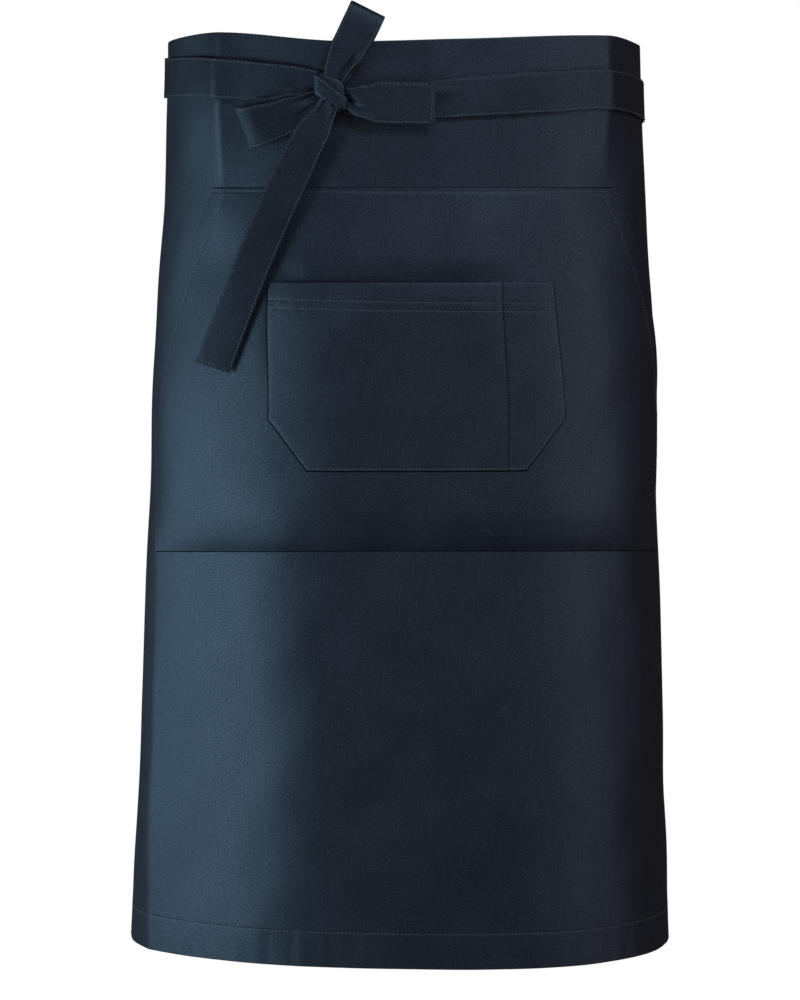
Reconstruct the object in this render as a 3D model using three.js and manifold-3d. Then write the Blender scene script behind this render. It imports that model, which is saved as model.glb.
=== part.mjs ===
// A long waist apron in the form that it has when it is worn. One wide hemmed cloth panel wraps round
// the hips and leaves a slit at the back. On it lies a large hand pocket that is open along two slanting
// sides, and on that a smaller order pocket with a pen slot. Two ties start at the panel's top back
// corners, cross behind, come round to the front over the panel and are tied there in a bow.
//
// Millimetres. +Z is up and -Y is the front; left and right are as seen from the front.
// The origin is the middle of the waist, at the height of the bow's knot.

import * as THREE from "three";
import { mergeVertices } from "three/addons/utils/BufferGeometryUtils.js";
import Module from "manifold-3d";

const wasm = await Module();
wasm.setup();

// Panel
const apronLength = 746; // top edge to hem, at the front
const topAboveKnot = 38; // top edge over the knot's height, before its own rises
const panelWidth = 960; // side edge to side edge, along the cloth
const clothThickness = 1.2;
const foldThickness = 0.8; // what a turned-in hem adds on the inside
const hemFold = 30;
const topFold = 44;
const sideFold = 14;
const wornOffCentre = 11.5; // how far the panel's middle sits to the right of the wearer's

// Form of the wearer's hips and legs under the panel, outside to outside
const waistBreadth = 388;
const waistDepth = 246;
const hemBreadth = 448;
const hemDepth = 292;
const hemSway = 2.5; // how far the hem hangs to the left of the waist

// Hand pocket
const handPocketDrop = 116; // its top seam below the panel's top edge
const handPocketHeight = 292;
const handPocketTopWidth = 338;
const handPocketWidest = 494; // at the foot of the slanting openings
const handPocketFootWidth = 474;
const handOpeningFoot = 108; // foot of a slanting opening above the pocket's bottom edge
const handOpeningBow = 7; // how far that edge bows outwards
const handPocketCornerSag = 7;
const handPocketFullness = 7.5; // room between panel and pocket

// Order pocket
const orderPocketDrop = 192; // its mouth below the panel's top edge
const orderPocketDepth = 152;
const orderPocketMouth = 230;
const orderPocketWidest = 239;
const orderPocketFoot = 174;
const orderPocketCorner = 42; // height of the cut corners
const orderPocketMouthLean = 5; // the mouth's middle lies this far to the left
const orderPocketGape = 9; // room at the mouth of the main part
const penSlotWidth = 50;
const penSlotGape = 6.6;

// Ties and bow
const tieWidth = 33;
const tieThickness = 1.6;
const tieRootLap = 42; // how much of a tie is sewn onto the panel's corner
const tieRootBelowTop = 5; // tie's upper edge below the panel's top edge at that corner
const knotLeftOfMiddle = 57.5; // knot's centre to the left of the wearer's middle
const knotBreadth = 26;
const knotBandHeight = 22; // upright height of the band wrapped round it
const knotFall = 12.5; // how far that band falls from its left end to its right
const knotDepth = 15;
const longTailLength = 241;
const shortTailLength = 83;
const sideLoopLength = 73;
const upperLoopLength = 70;

const seatGap = 0.3; // between pieces that lie on each other
const facetRoom = 0.35; // what the flats of a bent sheet take off that gap
const smallStep = 1; // width of the slope from a single cloth to a folded one
const panelStep = 25; // widest facet of the panel
const pocketStep = 14;
const tieStep = 11;
const edgeFade = 4; // power by which an edge's rises fade into the panel
const creaseFoot = 0.45; // where a crease's slope flattens, as a share of its reach

// Rows from the top edge down. widen is the share of the way from the waist's size to the hem's.
const bodySections = [
  { down: -0.02, widen: 0, squareness: 2.5 },
  { down: 0.13, widen: 0.1, squareness: 2.4 },
  { down: 0.36, widen: 0.38, squareness: 2.3 },
  { down: 0.58, widen: 0.6, squareness: 2.25 },
  { down: 0.8, widen: 0.79, squareness: 2.2 },
  { down: 1.02, widen: 1.01, squareness: 2.2 },
];

// Height of the top edge, in tie widths, at shares of half the panel's width
const topEdge = [
  { at: -1, rise: -0.12 },
  { at: -0.6, rise: 0 },
  { at: -0.48, rise: 0.04 },
  { at: -0.338, rise: 0.27 },
  { at: -0.14, rise: 0.05 },
  { at: 0.07, rise: 0.1 },
  { at: 0.335, rise: 0.2 },
  { at: 0.45, rise: 0.03 },
  { at: 0.6, rise: -0.02 },
  { at: 1, rise: -0.12 },
];

// The hem's height in the same way
const hemEdge = [
  { at: -1, rise: 0.1 },
  { at: -0.6, rise: 0.13 },
  { at: -0.1, rise: 0.01 },
  { at: 0.28, rise: -0.06 },
  { at: 0.44, rise: 0 },
  { at: 0.6, rise: 0.1 },
  { at: 1, rise: 0.1 },
];

// Sharp upright folds. at and reach are shares of half the panel's width, from and to are shares of the
// apron's length, and rise is in hem folds.
const creases = [
  { at: -0.338, reach: 0.1, rise: 0.14, from: -0.1, to: 0.15 },
  { at: 0.335, reach: 0.1, rise: 0.12, from: -0.1, to: 0.15 },
  { at: -0.5, reach: 0.08, rise: 0.1, from: 0.42, to: 1.4 },
];

// Soft hollows and swells, with the same columns in place of the crease's: down is their middle.
const dents = [
  { at: 0.2, reach: 0.16, down: 0.72, length: 0.2, rise: 0.1 },
  { at: -0.16, reach: 0.14, down: 0.9, length: 0.25, rise: -0.08 },
  { at: 0.78, reach: 0.1, down: 1, length: 0.5, rise: 0.35 },
  { at: -0.78, reach: 0.1, down: 1, length: 0.5, rise: 0.35 },
];

const topHeight = topAboveKnot;
const hemHeight = topHeight - apronLength;
const halfPanel = panelWidth / 2;

// Smooth value of a table's column, where the table's rows are sorted by the key column.
function tableValue(table, key, column, at) {
  const last = table.length - 1;
  if (at <= table[0][key]) return table[0][column];
  if (at >= table[last][key]) return table[last][column];
  let i = 0;
  while (at > table[i + 1][key]) i++;
  const slope = (k) => {
    const a = table[Math.max(k - 1, 0)];
    const b = table[Math.min(k + 1, last)];
    return (b[column] - a[column]) / (b[key] - a[key]);
  };
  const span = table[i + 1][key] - table[i][key];
  const t = (at - table[i][key]) / span;
  const t2 = t * t;
  const t3 = t2 * t;
  return (
    (2 * t3 - 3 * t2 + 1) * table[i][column] +
    (t3 - 2 * t2 + t) * span * slope(i) +
    (3 * t2 - 2 * t3) * table[i + 1][column] +
    (t3 - t2) * span * slope(i + 1)
  );
}

function mix(a, b, share) {
  return a + (b - a) * share;
}

function smoothStep(from, to, value) {
  const t = Math.min(Math.max((value - from) / (to - from), 0), 1);
  return t * t * (3 - 2 * t);
}

// The level line round the wearer at a height, with the distance along it from the front's middle.
const sectionSteps = 360;
const sectionsMade = new Map();
function sectionAt(height) {
  const key = height.toFixed(3);
  if (sectionsMade.has(key)) return sectionsMade.get(key);
  const down = (topHeight - height) / apronLength;
  const widen = tableValue(bodySections, "down", "widen", down);
  const power = tableValue(bodySections, "down", "squareness", down);
  const halfBreadth = mix(waistBreadth, hemBreadth, widen) / 2;
  const halfDepth = mix(waistDepth, hemDepth, widen) / 2;
  const points = [];
  let along = 0;
  for (let i = 0; i <= sectionSteps; i++) {
    const turn = (i / sectionSteps) * 2 * Math.PI - Math.PI;
    const side = Math.abs(Math.sin(turn)) / halfBreadth;
    const front = Math.abs(Math.cos(turn)) / halfDepth;
    const radius = (side ** power + front ** power) ** (-1 / power);
    const x = radius * Math.sin(turn) - hemSway * widen;
    const y = -radius * Math.cos(turn);
    if (i > 0) along += Math.hypot(x - points[i - 1].x, y - points[i - 1].y);
    points.push({ x, y, along });
  }
  const section = { points, girth: along };
  sectionsMade.set(key, section);
  return section;
}

function girthAt(height) {
  return sectionAt(height).girth;
}

// Point and outward normal of the level line, at a distance from the wearer's front middle.
function onSection(distance, height) {
  const { points, girth } = sectionAt(height);
  const along = (((distance + girth / 2) % girth) + girth) % girth;
  let low = 0;
  let high = points.length - 1;
  while (high - low > 1) {
    const middle = (low + high) >> 1;
    if (points[middle].along > along) high = middle;
    else low = middle;
  }
  const a = points[low];
  const b = points[high];
  const t = (along - a.along) / (b.along - a.along);
  const before = points[low > 0 ? low - 1 : points.length - 2];
  const after = points[high < points.length - 1 ? high + 1 : 1];
  const normalOf = (p, q) => {
    const length = Math.hypot(q.x - p.x, q.y - p.y);
    return { x: (q.y - p.y) / length, y: -(q.x - p.x) / length };
  };
  const start = normalOf(before, b);
  const end = normalOf(a, after);
  return {
    x: mix(a.x, b.x, t),
    y: mix(a.y, b.y, t),
    nx: mix(start.x, end.x, t),
    ny: mix(start.y, end.y, t),
    across: along - girth / 2 - wornOffCentre,
  };
}

// How far the worn cloth stands out from the plain form, at a place on the panel.
function foldRise(across, height) {
  const down = (topHeight - height) / apronLength;
  const at = across / halfPanel;
  let rise = 0;
  for (const crease of creases) {
    const near = Math.max(0, 1 - Math.abs(at - crease.at) / crease.reach);
    const fade = (crease.to - crease.from) / 3;
    const shown =
      smoothStep(crease.from, crease.from + fade, down) *
      (1 - smoothStep(crease.to - fade, crease.to, down));
    rise += crease.rise * near * near * shown;
  }
  for (const dent of dents) {
    const side = (at - dent.at) / dent.reach;
    const drop = (down - dent.down) / dent.length;
    rise += dent.rise * Math.exp(-side * side - drop * drop);
  }
  return rise * hemFold;
}

// A place on the worn cloth: distance from the wearer's front middle, height, and distance out from it.
function onBody(distance, height, out) {
  const place = onSection(distance, height);
  const reach = out + foldRise(place.across, height);
  return new THREE.Vector3(place.x + place.nx * reach, place.y + place.ny * reach, height);
}

function onPanel(across, height, out) {
  return onBody(across + wornOffCentre, height, out);
}

function topHeightAt(across) {
  return topHeight + tieWidth * tableValue(topEdge, "at", "rise", across / halfPanel);
}

// A closed solid between two grids of points. point(column, row, isOuter) gives the points; columns run
// to the right and rows run up, as seen from outside.
function sheetSolid(columns, rows, point) {
  const positions = [];
  for (const isOuter of [true, false]) {
    for (let row = 0; row < rows; row++) {
      for (let column = 0; column < columns; column++) {
        positions.push(...point(column, row, isOuter).toArray());
      }
    }
  }
  const index = (column, row, isOuter) => (isOuter ? 0 : columns * rows) + row * columns + column;
  const triangles = [];
  for (let row = 0; row + 1 < rows; row++) {
    for (let column = 0; column + 1 < columns; column++) {
      for (const isOuter of [true, false]) {
        const a = index(column, row, isOuter);
        const b = index(column + 1, row, isOuter);
        const c = index(column + 1, row + 1, isOuter);
        const d = index(column, row + 1, isOuter);
        triangles.push(...(isOuter ? [a, b, c, a, c, d] : [a, c, b, a, d, c]));
      }
    }
  }
  const rim = [];
  for (let column = 0; column + 1 < columns; column++) rim.push([column, 0]);
  for (let row = 0; row + 1 < rows; row++) rim.push([columns - 1, row]);
  for (let column = columns - 1; column > 0; column--) rim.push([column, rows - 1]);
  for (let row = rows - 1; row > 0; row--) rim.push([0, row]);
  for (let i = 0; i < rim.length; i++) {
    const here = rim[i];
    const next = rim[(i + 1) % rim.length];
    const a = index(...here, true);
    const b = index(...next, true);
    const c = index(...next, false);
    const d = index(...here, false);
    triangles.push(a, c, b, a, d, c);
  }
  const geometry = new THREE.BufferGeometry();
  geometry.setAttribute("position", new THREE.Float32BufferAttribute(positions, 3));
  geometry.setIndex(triangles);
  return geometry;
}

function evenShares(count) {
  return Array.from({ length: count + 1 }, (_, i) => i / count);
}

// Places from one value to another at most a step apart, with one on the top and foot of each crease.
function placesWithCreases(from, to, step) {
  const onCreases = creases
    .flatMap(({ at, reach }) => [at - reach * creaseFoot, at, at + reach * creaseFoot])
    .map((at) => at * halfPanel)
    .filter((place) => place > from + step / 2 && place < to - step / 2);
  const stops = [from, ...onCreases, to].sort((a, b) => a - b);
  const places = [from];
  for (let i = 1; i < stops.length; i++) {
    const span = stops[i] - stops[i - 1];
    const count = Math.max(1, Math.ceil(span / step));
    for (let k = 1; k <= count; k++) places.push(stops[i - 1] + (span * k) / count);
  }
  return places;
}

// Panel: single cloth, turned in and doubled at the top, the hem and both side edges.
function panelGeometry() {
  const columns = [
    { across: -halfPanel, folded: true },
    { across: -halfPanel + sideFold - smallStep, folded: true },
    ...placesWithCreases(-halfPanel + sideFold, halfPanel - sideFold, panelStep).map((across) => ({
      across,
      folded: false,
    })),
    { across: halfPanel - sideFold + smallStep, folded: true },
    { across: halfPanel, folded: true },
  ];
  const rows = [
    { above: 0, folded: true },
    { above: hemFold - smallStep, folded: true },
    ...evenShares(12).map((share) => ({
      above: mix(hemFold, apronLength - topFold, share),
      folded: false,
    })),
    { above: apronLength - topFold + smallStep, folded: true },
    { above: apronLength, folded: true },
  ];
  return sheetSolid(columns.length, rows.length, (column, row, isOuter) => {
    const { across } = columns[column];
    const upShare = rows[row].above / apronLength;
    const topLift = (topHeightAt(across) - topHeight) * upShare ** edgeFade;
    const hemLift = tieWidth * tableValue(hemEdge, "at", "rise", across / halfPanel);
    const height = hemHeight + rows[row].above + topLift + hemLift * (1 - upShare) ** edgeFade;
    const folded = columns[column].folded || rows[row].folded;
    const inside = -clothThickness - (folded ? foldThickness : 0);
    return onPanel(across, height, isOuter ? 0 : inside);
  });
}

// Hand pocket
const handPocketTop = topHeight - handPocketDrop;
const handPocketBottom = handPocketTop - handPocketHeight;
const openingFootShare = handOpeningFoot / handPocketHeight;

function handPocketHalfWidth(up) {
  if (up <= openingFootShare) {
    return mix(handPocketFootWidth, handPocketWidest, up / openingFootShare) / 2;
  }
  const t = (up - openingFootShare) / (1 - openingFootShare);
  return mix(handPocketWidest, handPocketTopWidth, t) / 2 + handOpeningBow * 4 * t * (1 - t);
}

// Room behind the pocket's cloth from its bottom seam up to its top seam, as a share of its fullness
const handPocketRoom = [
  { up: 0, middle: 0, side: 0 },
  { up: 0.04, middle: 0.5, side: 0 },
  { up: 0.12, middle: 0.95, side: 0 },
  { up: 0.37, middle: 1, side: 0 },
  { up: 0.5, middle: 0.95, side: 0.35 },
  { up: 0.7, middle: 0.85, side: 0.5 },
  { up: 0.8, middle: 0.5, side: 0.45 },
  { up: 0.9, middle: 0.3, side: 0.3 },
  { up: 1, middle: 0, side: 0 },
];

// Gap between the panel and the pocket's cloth; share runs from -1 at the left edge to 1 at the right.
function handPocketGap(share, up) {
  const middle = tableValue(handPocketRoom, "up", "middle", up);
  const side = tableValue(handPocketRoom, "up", "side", up);
  return seatGap + facetRoom + handPocketFullness * Math.max(0, mix(middle, side, share ** 6));
}

function handPocketHeightAt(share, up) {
  return handPocketBottom + handPocketHeight * up - handPocketCornerSag * share ** 2 * (1 - up);
}

function handPocketGeometry() {
  const columns = evenShares(Math.ceil(handPocketWidest / pocketStep)).map((share) => mix(-1, 1, share));
  const rows = [0, 0.04, 0.12, 0.24, openingFootShare, 0.5, 0.62, 0.75, 0.86, 0.94, 1];
  return sheetSolid(columns.length, rows.length, (column, row, isOuter) => {
    const share = columns[column];
    const up = rows[row];
    const out = handPocketGap(share, up) + (isOuter ? clothThickness : 0);
    return onPanel(share * handPocketHalfWidth(up), handPocketHeightAt(share, up), out);
  });
}

// Outside of the hand pocket's cloth at a place on the panel, or the panel's own outside.
function outsideOfHandPocket(across, height) {
  const sagShare = Math.min(1, Math.abs(across) / (handPocketFootWidth / 2)) ** 2;
  const bottom = handPocketBottom - handPocketCornerSag * sagShare;
  const up = (height - bottom) / (handPocketTop - bottom);
  if (up < 0 || up > 1) return 0;
  const share = across / handPocketHalfWidth(up);
  if (Math.abs(share) > 1) return 0;
  return handPocketGap(share, up) + clothThickness;
}

// Order pocket
const orderPocketTop = topHeight - orderPocketDrop;
const cornerShare = orderPocketCorner / orderPocketDepth;

function orderPocketHalfWidth(up) {
  if (up <= cornerShare) return mix(orderPocketFoot, orderPocketWidest, up / cornerShare) / 2;
  return mix(orderPocketWidest, orderPocketMouth, (up - cornerShare) / (1 - cornerShare)) / 2;
}

function orderPocketMiddle(up) {
  return -orderPocketMouthLean * smoothStep(cornerShare, 1, up);
}

// Across the pocket: the main part, the pen slot's seam and the pen slot.
function orderPocketAcross(share, up) {
  const half = orderPocketHalfWidth(up);
  return orderPocketMiddle(up) + share * half;
}

const penSeamShare = 1 - (2 * penSlotWidth) / orderPocketWidest;

function orderPocketGap(share, up) {
  const lift = up ** 1.5;
  const inSlot = share > penSeamShare;
  const from = inSlot ? penSeamShare : -1;
  const to = inSlot ? 1 : penSeamShare;
  const t = (share - from) / (to - from);
  const arch = 1 - (2 * t - 1) ** 4;
  return seatGap + facetRoom + (inSlot ? penSlotGape : orderPocketGape) * arch * lift;
}

function orderPocketPlace(share, up, extra) {
  const across = orderPocketAcross(share, up);
  const height = orderPocketTop - orderPocketDepth * (1 - up);
  const out = outsideOfHandPocket(across, height) + orderPocketGap(share, up) + extra;
  return onPanel(across, height, out);
}

function orderPocketGeometry() {
  const columns = [
    ...evenShares(12).map((share) => mix(-1, penSeamShare, share)),
    ...evenShares(6)
      .slice(1)
      .map((share) => mix(penSeamShare, 1, share)),
  ];
  const rows = [0, cornerShare / 2, cornerShare, 0.42, 0.57, 0.72, 0.86, 1];
  return sheetSolid(columns.length, rows.length, (column, row, isOuter) =>
    orderPocketPlace(columns[column], rows[row], isOuter ? clothThickness : 0),
  );
}

// A tie is a strip. Each station gives the strip's centre as distance, height and out, the direction of
// its width, its width, and how deep its pleats are; the solid lies on both sides of the centre surface.
const pleatForm = [0, 1, 0, 1, 0];

function stripGeometry(stations) {
  const columns = pleatForm.length;
  return sheetSolid(stations.length, columns, (index, column, isOuter) => {
    const station = stations[index];
    const before = stations[Math.max(index - 1, 0)];
    const after = stations[Math.min(index + 1, stations.length - 1)];
    const heading = after.centre.clone().sub(before.centre).normalize();
    const width = station.widthway.clone();
    width.addScaledVector(heading, -heading.dot(width)).normalize();
    const face = heading.clone().cross(width).normalize();
    const share = (column / (columns - 1)) * 2 - 1;
    const lift = station.pleat * (0.5 - pleatForm[column]) + (isOuter ? 0.5 : -0.5) * tieThickness;
    const place = station.centre
      .clone()
      .addScaledVector(width, (share * station.width) / 2)
      .addScaledVector(face, lift);
    return onBody(place.x, place.y, place.z);
  });
}

// Stations along a smooth line through a table's rows, which are already in millimetres.
function stationsAlong(rows, perSpan) {
  const curve = new THREE.CatmullRomCurve3(
    rows.map((row) => new THREE.Vector3(row.distance, row.height, row.out)),
    false,
    "centripetal",
  );
  const stations = [];
  const spans = rows.length - 1;
  for (let i = 0; i <= spans * perSpan; i++) {
    const t = i / perSpan;
    const row = Math.min(Math.floor(t), spans - 1);
    const share = smoothStep(0, 1, t - row);
    const value = (column) => mix(rows[row][column], rows[row + 1][column], share);
    const turn = THREE.MathUtils.degToRad(value("turn"));
    const tilt = THREE.MathUtils.degToRad(value("tilt"));
    stations.push({
      centre: curve.getPoint(i / (spans * perSpan)),
      widthway: new THREE.Vector3(
        -Math.sin(turn) * Math.cos(tilt),
        Math.cos(turn) * Math.cos(tilt),
        Math.sin(tilt),
      ),
      width: value("width"),
      pleat: value("pleat"),
    });
  }
  return stations;
}

const onPanelOut = seatGap + facetRoom + tieThickness / 2;
const overTieOut = onPanelOut + tieThickness + seatGap + facetRoom;
const halfGirth = girthAt(0) / 2;
const knotDistance = -knotLeftOfMiddle;
const knotOut = seatGap + 2.2 + knotDepth / 2;

// A tie's way round the body. round is a share of half the girth from the front's middle, and goes past
// 1 behind, back to the front at 2. up is in tie widths from the knot's height. out is in tie widths
// over the cloth, and over says how far it has climbed onto the other tie.
const rootRound = (halfPanel - tieRootLap) / halfGirth;
const offRound = wornOffCentre / halfGirth;
const rootUp = (topHeightAt(halfPanel) - tieRootBelowTop) / tieWidth - 0.5;

const rightTieWay = [
  { round: rootRound - offRound, up: rootUp, out: 0, over: 0, width: 1, pleat: 0 },
  { round: 0.92, up: rootUp - 0.2, out: 0, over: 0, width: 1, pleat: 0 },
  { round: 0.98, up: rootUp - 0.6, out: 0, over: 0, width: 1, pleat: 0 },
  { round: 1.05, up: rootUp - 1.07, out: 0, over: 0, width: 1, pleat: 0 },
  { round: 1.15, up: rootUp - 1.14, out: 0, over: 0, width: 1, pleat: 0 },
  { round: 1.3, up: -0.55, out: 0, over: 0, width: 1, pleat: 0 },
  { round: 1.45, up: -0.32, out: 0, over: 0, width: 1, pleat: 0 },
  { round: 1.55, up: -0.2, out: 0.01, over: 0, width: 1, pleat: 0 },
  { round: 1.675, up: 0.03, out: 0.01, over: 0, width: 1, pleat: 0 },
  { round: 1.79, up: -0.05, out: 0.04, over: 0, width: 1, pleat: 0 },
  { round: 1.89, up: -0.15, out: 0.08, over: 0, width: 0.97, pleat: 0.01 },
  { round: 1.98, up: -0.26, out: 0.09, over: 0, width: 0.88, pleat: 0.03 },
  { round: 2.045, up: -0.38, out: 0.08, over: 0, width: 0.7, pleat: 0.05 },
  { round: 2.1, up: -0.32, out: 0.16, over: 0, width: 0.45, pleat: 0.05 },
];

const leftTieWay = [
  { round: rootRound + offRound, up: rootUp, out: 0, over: 0, width: 1, pleat: 0 },
  { round: 0.9, up: rootUp, out: 0, over: 0.25, width: 1, pleat: 0 },
  { round: 0.94, up: rootUp + 0.02, out: 0, over: 1, width: 1, pleat: 0 },
  { round: 1.16, up: rootUp + 0.02, out: 0, over: 1, width: 1, pleat: 0 },
  { round: 1.24, up: rootUp, out: 0.02, over: 0.3, width: 1, pleat: 0 },
  { round: 1.36, up: 0.4, out: 0.01, over: 0, width: 1, pleat: 0 },
  { round: 1.47, up: 0.35, out: 0.01, over: 0, width: 1, pleat: 0 },
  { round: 1.57, up: 0.33, out: 0.01, over: 0, width: 1, pleat: 0 },
  { round: 1.7, up: 0.32, out: 0.01, over: 0, width: 0.98, pleat: 0 },
  { round: 1.78, up: 0.2, out: 0.04, over: 0, width: 0.94, pleat: 0.01 },
  { round: 1.835, up: 0.2, out: 0.06, over: 0, width: 0.76, pleat: 0.05 },
  { round: 1.875, up: 0.2, out: 0.11, over: 0, width: 0.45, pleat: 0.05 },
];

// direction is 1 for a way round to the right behind, and -1 for one to the left.
function tieStations(way, direction) {
  const from = (way[0].round * halfGirth - direction * wornOffCentre) * direction;
  const to = (way[way.length - 1].round * halfGirth - direction * wornOffCentre) * direction;
  const wrap = 2 * halfGirth * direction;
  const seam = halfGirth * direction;
  const near = placesWithCreases(Math.min(from, seam), Math.max(from, seam), tieStep);
  const far = placesWithCreases(Math.min(seam, to) - wrap, Math.max(seam, to) - wrap, tieStep);
  const places = [...near, ...far.map((place) => place + wrap)];
  places.sort((a, b) => (a - b) * direction);
  const kept = places.filter((place, i) => i === 0 || Math.abs(place - places[i - 1]) > 1);
  return kept.map((place) => {
    const round = (place * direction) / halfGirth + direction * offRound;
    const value = (column) => tableValue(way, "round", column, round);
    const overOther = value("over") * (overTieOut - onPanelOut);
    return {
      centre: new THREE.Vector3(
        place + wornOffCentre,
        value("up") * tieWidth,
        onPanelOut + value("out") * tieWidth + overOther,
      ),
      widthway: new THREE.Vector3(0, 1, 0),
      width: value("width") * tieWidth,
      pleat: value("pleat") * tieWidth,
    };
  });
}

// The bow's strips, from the knot outwards. side, up and out are in tie widths from the knot's centre,
// turn and tilt in degrees give the direction of the width, and width and pleat are in tie widths.
const longTailWay = [
  { side: 0.02, up: -0.16, out: 0.1, turn: -103, tilt: 0, width: 0.4, pleat: 0.1 },
  { side: -0.1, up: -0.5, out: 0.2, turn: -107, tilt: 0, width: 0.52, pleat: 0.12 },
  { side: -0.4, up: -1.05, out: 0.28, turn: -113, tilt: 0, width: 0.8, pleat: 0.06 },
  { side: -0.88, up: -2.1, out: 0.26, turn: -113, tilt: 0, width: 0.9, pleat: 0.01 },
  { side: -1.86, up: -4.4, out: 0.26, turn: -113, tilt: 0, width: 0.92, pleat: 0 },
  { side: -2.86, up: -6.72, out: 0.24, turn: -115, tilt: 0, width: 0.93, pleat: 0 },
];
const shortTailWay = [
  { side: 0.06, up: -0.1, out: 0.02, turn: 0, tilt: 0, width: 0.4, pleat: 0.05 },
  { side: 0.4, up: -0.17, out: 0.05, turn: 0, tilt: 0, width: 0.56, pleat: 0.08 },
  { side: 0.75, up: -0.27, out: 0.07, turn: 3, tilt: 0, width: 0.85, pleat: 0.05 },
  { side: 1.3, up: -0.3, out: 0.05, turn: 3, tilt: 0, width: 1.0, pleat: 0.01 },
  { side: 2.5, up: -0.32, out: 0.02, turn: 5, tilt: 0, width: 1.02, pleat: 0 },
];
const sideLoopWay = [
  { side: -0.16, up: -0.14, out: -0.08, turn: 12, tilt: 10, width: 0.3, pleat: 0.03 },
  { side: -0.5, up: -0.28, out: -0.08, turn: 12, tilt: 10, width: 0.5, pleat: 0.03 },
  { side: -1.1, up: -0.52, out: -0.07, turn: 13, tilt: 16, width: 0.88, pleat: 0 },
  { side: -1.85, up: -0.76, out: -0.04, turn: 13, tilt: 16, width: 1.03, pleat: 0 },
  { side: -2.1, up: -0.88, out: 0.06, turn: 14, tilt: 16, width: 1.04, pleat: 0 },
  { side: -2.1, up: -0.94, out: 0.2, turn: 14, tilt: 16, width: 1.04, pleat: 0 },
  { side: -1.85, up: -0.92, out: 0.28, turn: 13, tilt: 16, width: 1.03, pleat: 0 },
  { side: -1.1, up: -0.66, out: 0.14, turn: 13, tilt: 10, width: 0.88, pleat: 0 },
  { side: -0.5, up: -0.3, out: 0.03, turn: 12, tilt: 6, width: 0.5, pleat: 0.04 },
  { side: -0.16, up: -0.12, out: 0.01, turn: 12, tilt: 6, width: 0.3, pleat: 0.03 },
];
const upperLoopWay = [
  { side: 0.08, up: 0.1, out: -0.1, turn: -117, tilt: 0, width: 0.4, pleat: 0.08 },
  { side: 0.22, up: 0.48, out: -0.12, turn: -117, tilt: 0, width: 0.6, pleat: 0.08 },
  { side: 0.46, up: 1, out: -0.16, turn: -117, tilt: 0, width: 0.84, pleat: 0.02 },
  { side: 0.78, up: 1.72, out: -0.16, turn: -117, tilt: 0, width: 0.9, pleat: 0 },
  { side: 0.88, up: 1.94, out: -0.08, turn: -117, tilt: 0, width: 0.9, pleat: 0 },
  { side: 0.88, up: 1.94, out: 0.06, turn: -117, tilt: 0, width: 0.9, pleat: 0 },
  { side: 0.76, up: 1.66, out: 0.16, turn: -117, tilt: 0, width: 0.9, pleat: 0 },
  { side: 0.42, up: 1, out: 0.16, turn: -117, tilt: 0, width: 0.84, pleat: 0.03 },
  { side: 0.16, up: 0.5, out: 0.12, turn: -117, tilt: 0, width: 0.6, pleat: 0.1 },
  { side: 0.04, up: 0.12, out: 0.08, turn: -117, tilt: 0, width: 0.4, pleat: 0.08 },
];

// A bow table's rows in millimetres, stretched so that its furthest row lies at the stated length.
function bowRows(way, length) {
  const reachOf = (row) => Math.hypot(row.side, row.up);
  const furthest = Math.max(...way.map(reachOf)) * tieWidth;
  const stretch = length / furthest;
  return way.map((row) => ({
    distance: knotDistance + row.side * tieWidth * stretch,
    height: row.up * tieWidth * stretch,
    out: knotOut + row.out * tieWidth,
    turn: row.turn,
    tilt: row.tilt,
    width: row.width * tieWidth,
    pleat: row.pleat * tieWidth,
  }));
}

// Knot: a band wrapped once round, an oval across, rounded at both of its edges, falling to the right
// and widest there.
const knotProfile = [
  { along: -0.5, size: 0.8 },
  { along: -0.44, size: 0.93 },
  { along: -0.3, size: 1 },
  { along: 0, size: 1 },
  { along: 0.3, size: 1 },
  { along: 0.44, size: 0.93 },
  { along: 0.5, size: 0.8 },
];
const knotFlare = 0.16; // share by which its right end is higher than its middle

function knotGeometry(grow) {
  const around = 20;
  const positions = [];
  const triangles = [];
  const place = (along, size, turn) => {
    const side = Math.cos(turn) * ((size * knotBreadth) / 2 + grow);
    const depth = Math.sin(turn) * ((size * knotDepth) / 2 + grow);
    const toRight = side / (knotBreadth / 2);
    const rise = along * (knotBandHeight * (1 + knotFlare * toRight) + 2 * grow);
    return onBody(knotDistance + side, rise - (toRight * knotFall) / 2, knotOut + depth);
  };
  for (const { along, size } of knotProfile) {
    for (let i = 0; i < around; i++) {
      positions.push(...place(along, size, (i / around) * 2 * Math.PI).toArray());
    }
  }
  const rings = knotProfile.length;
  for (let ring = 0; ring + 1 < rings; ring++) {
    for (let i = 0; i < around; i++) {
      const a = ring * around + i;
      const b = ring * around + ((i + 1) % around);
      triangles.push(a, a + around, b + around, a, b + around, b);
    }
  }
  for (const [ring, flip] of [
    [0, false],
    [rings - 1, true],
  ]) {
    const middle = positions.length / 3;
    positions.push(...place(knotProfile[ring].along, 0, 0).toArray());
    for (let i = 0; i < around; i++) {
      const a = ring * around + i;
      const b = ring * around + ((i + 1) % around);
      triangles.push(middle, ...(flip ? [b, a] : [a, b]));
    }
  }
  const geometry = new THREE.BufferGeometry();
  geometry.setAttribute("position", new THREE.Float32BufferAttribute(positions, 3));
  geometry.setIndex(triangles);
  return geometry;
}

function solidOf(geometry) {
  const plain = geometry.clone();
  plain.deleteAttribute("normal");
  plain.deleteAttribute("uv");
  const merged = mergeVertices(plain, 1e-4);
  return new wasm.Manifold(
    new wasm.Mesh({
      numProp: 3,
      vertProperties: new Float32Array(merged.attributes.position.array),
      triVerts: new Uint32Array(merged.index.array),
    }),
  );
}

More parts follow.
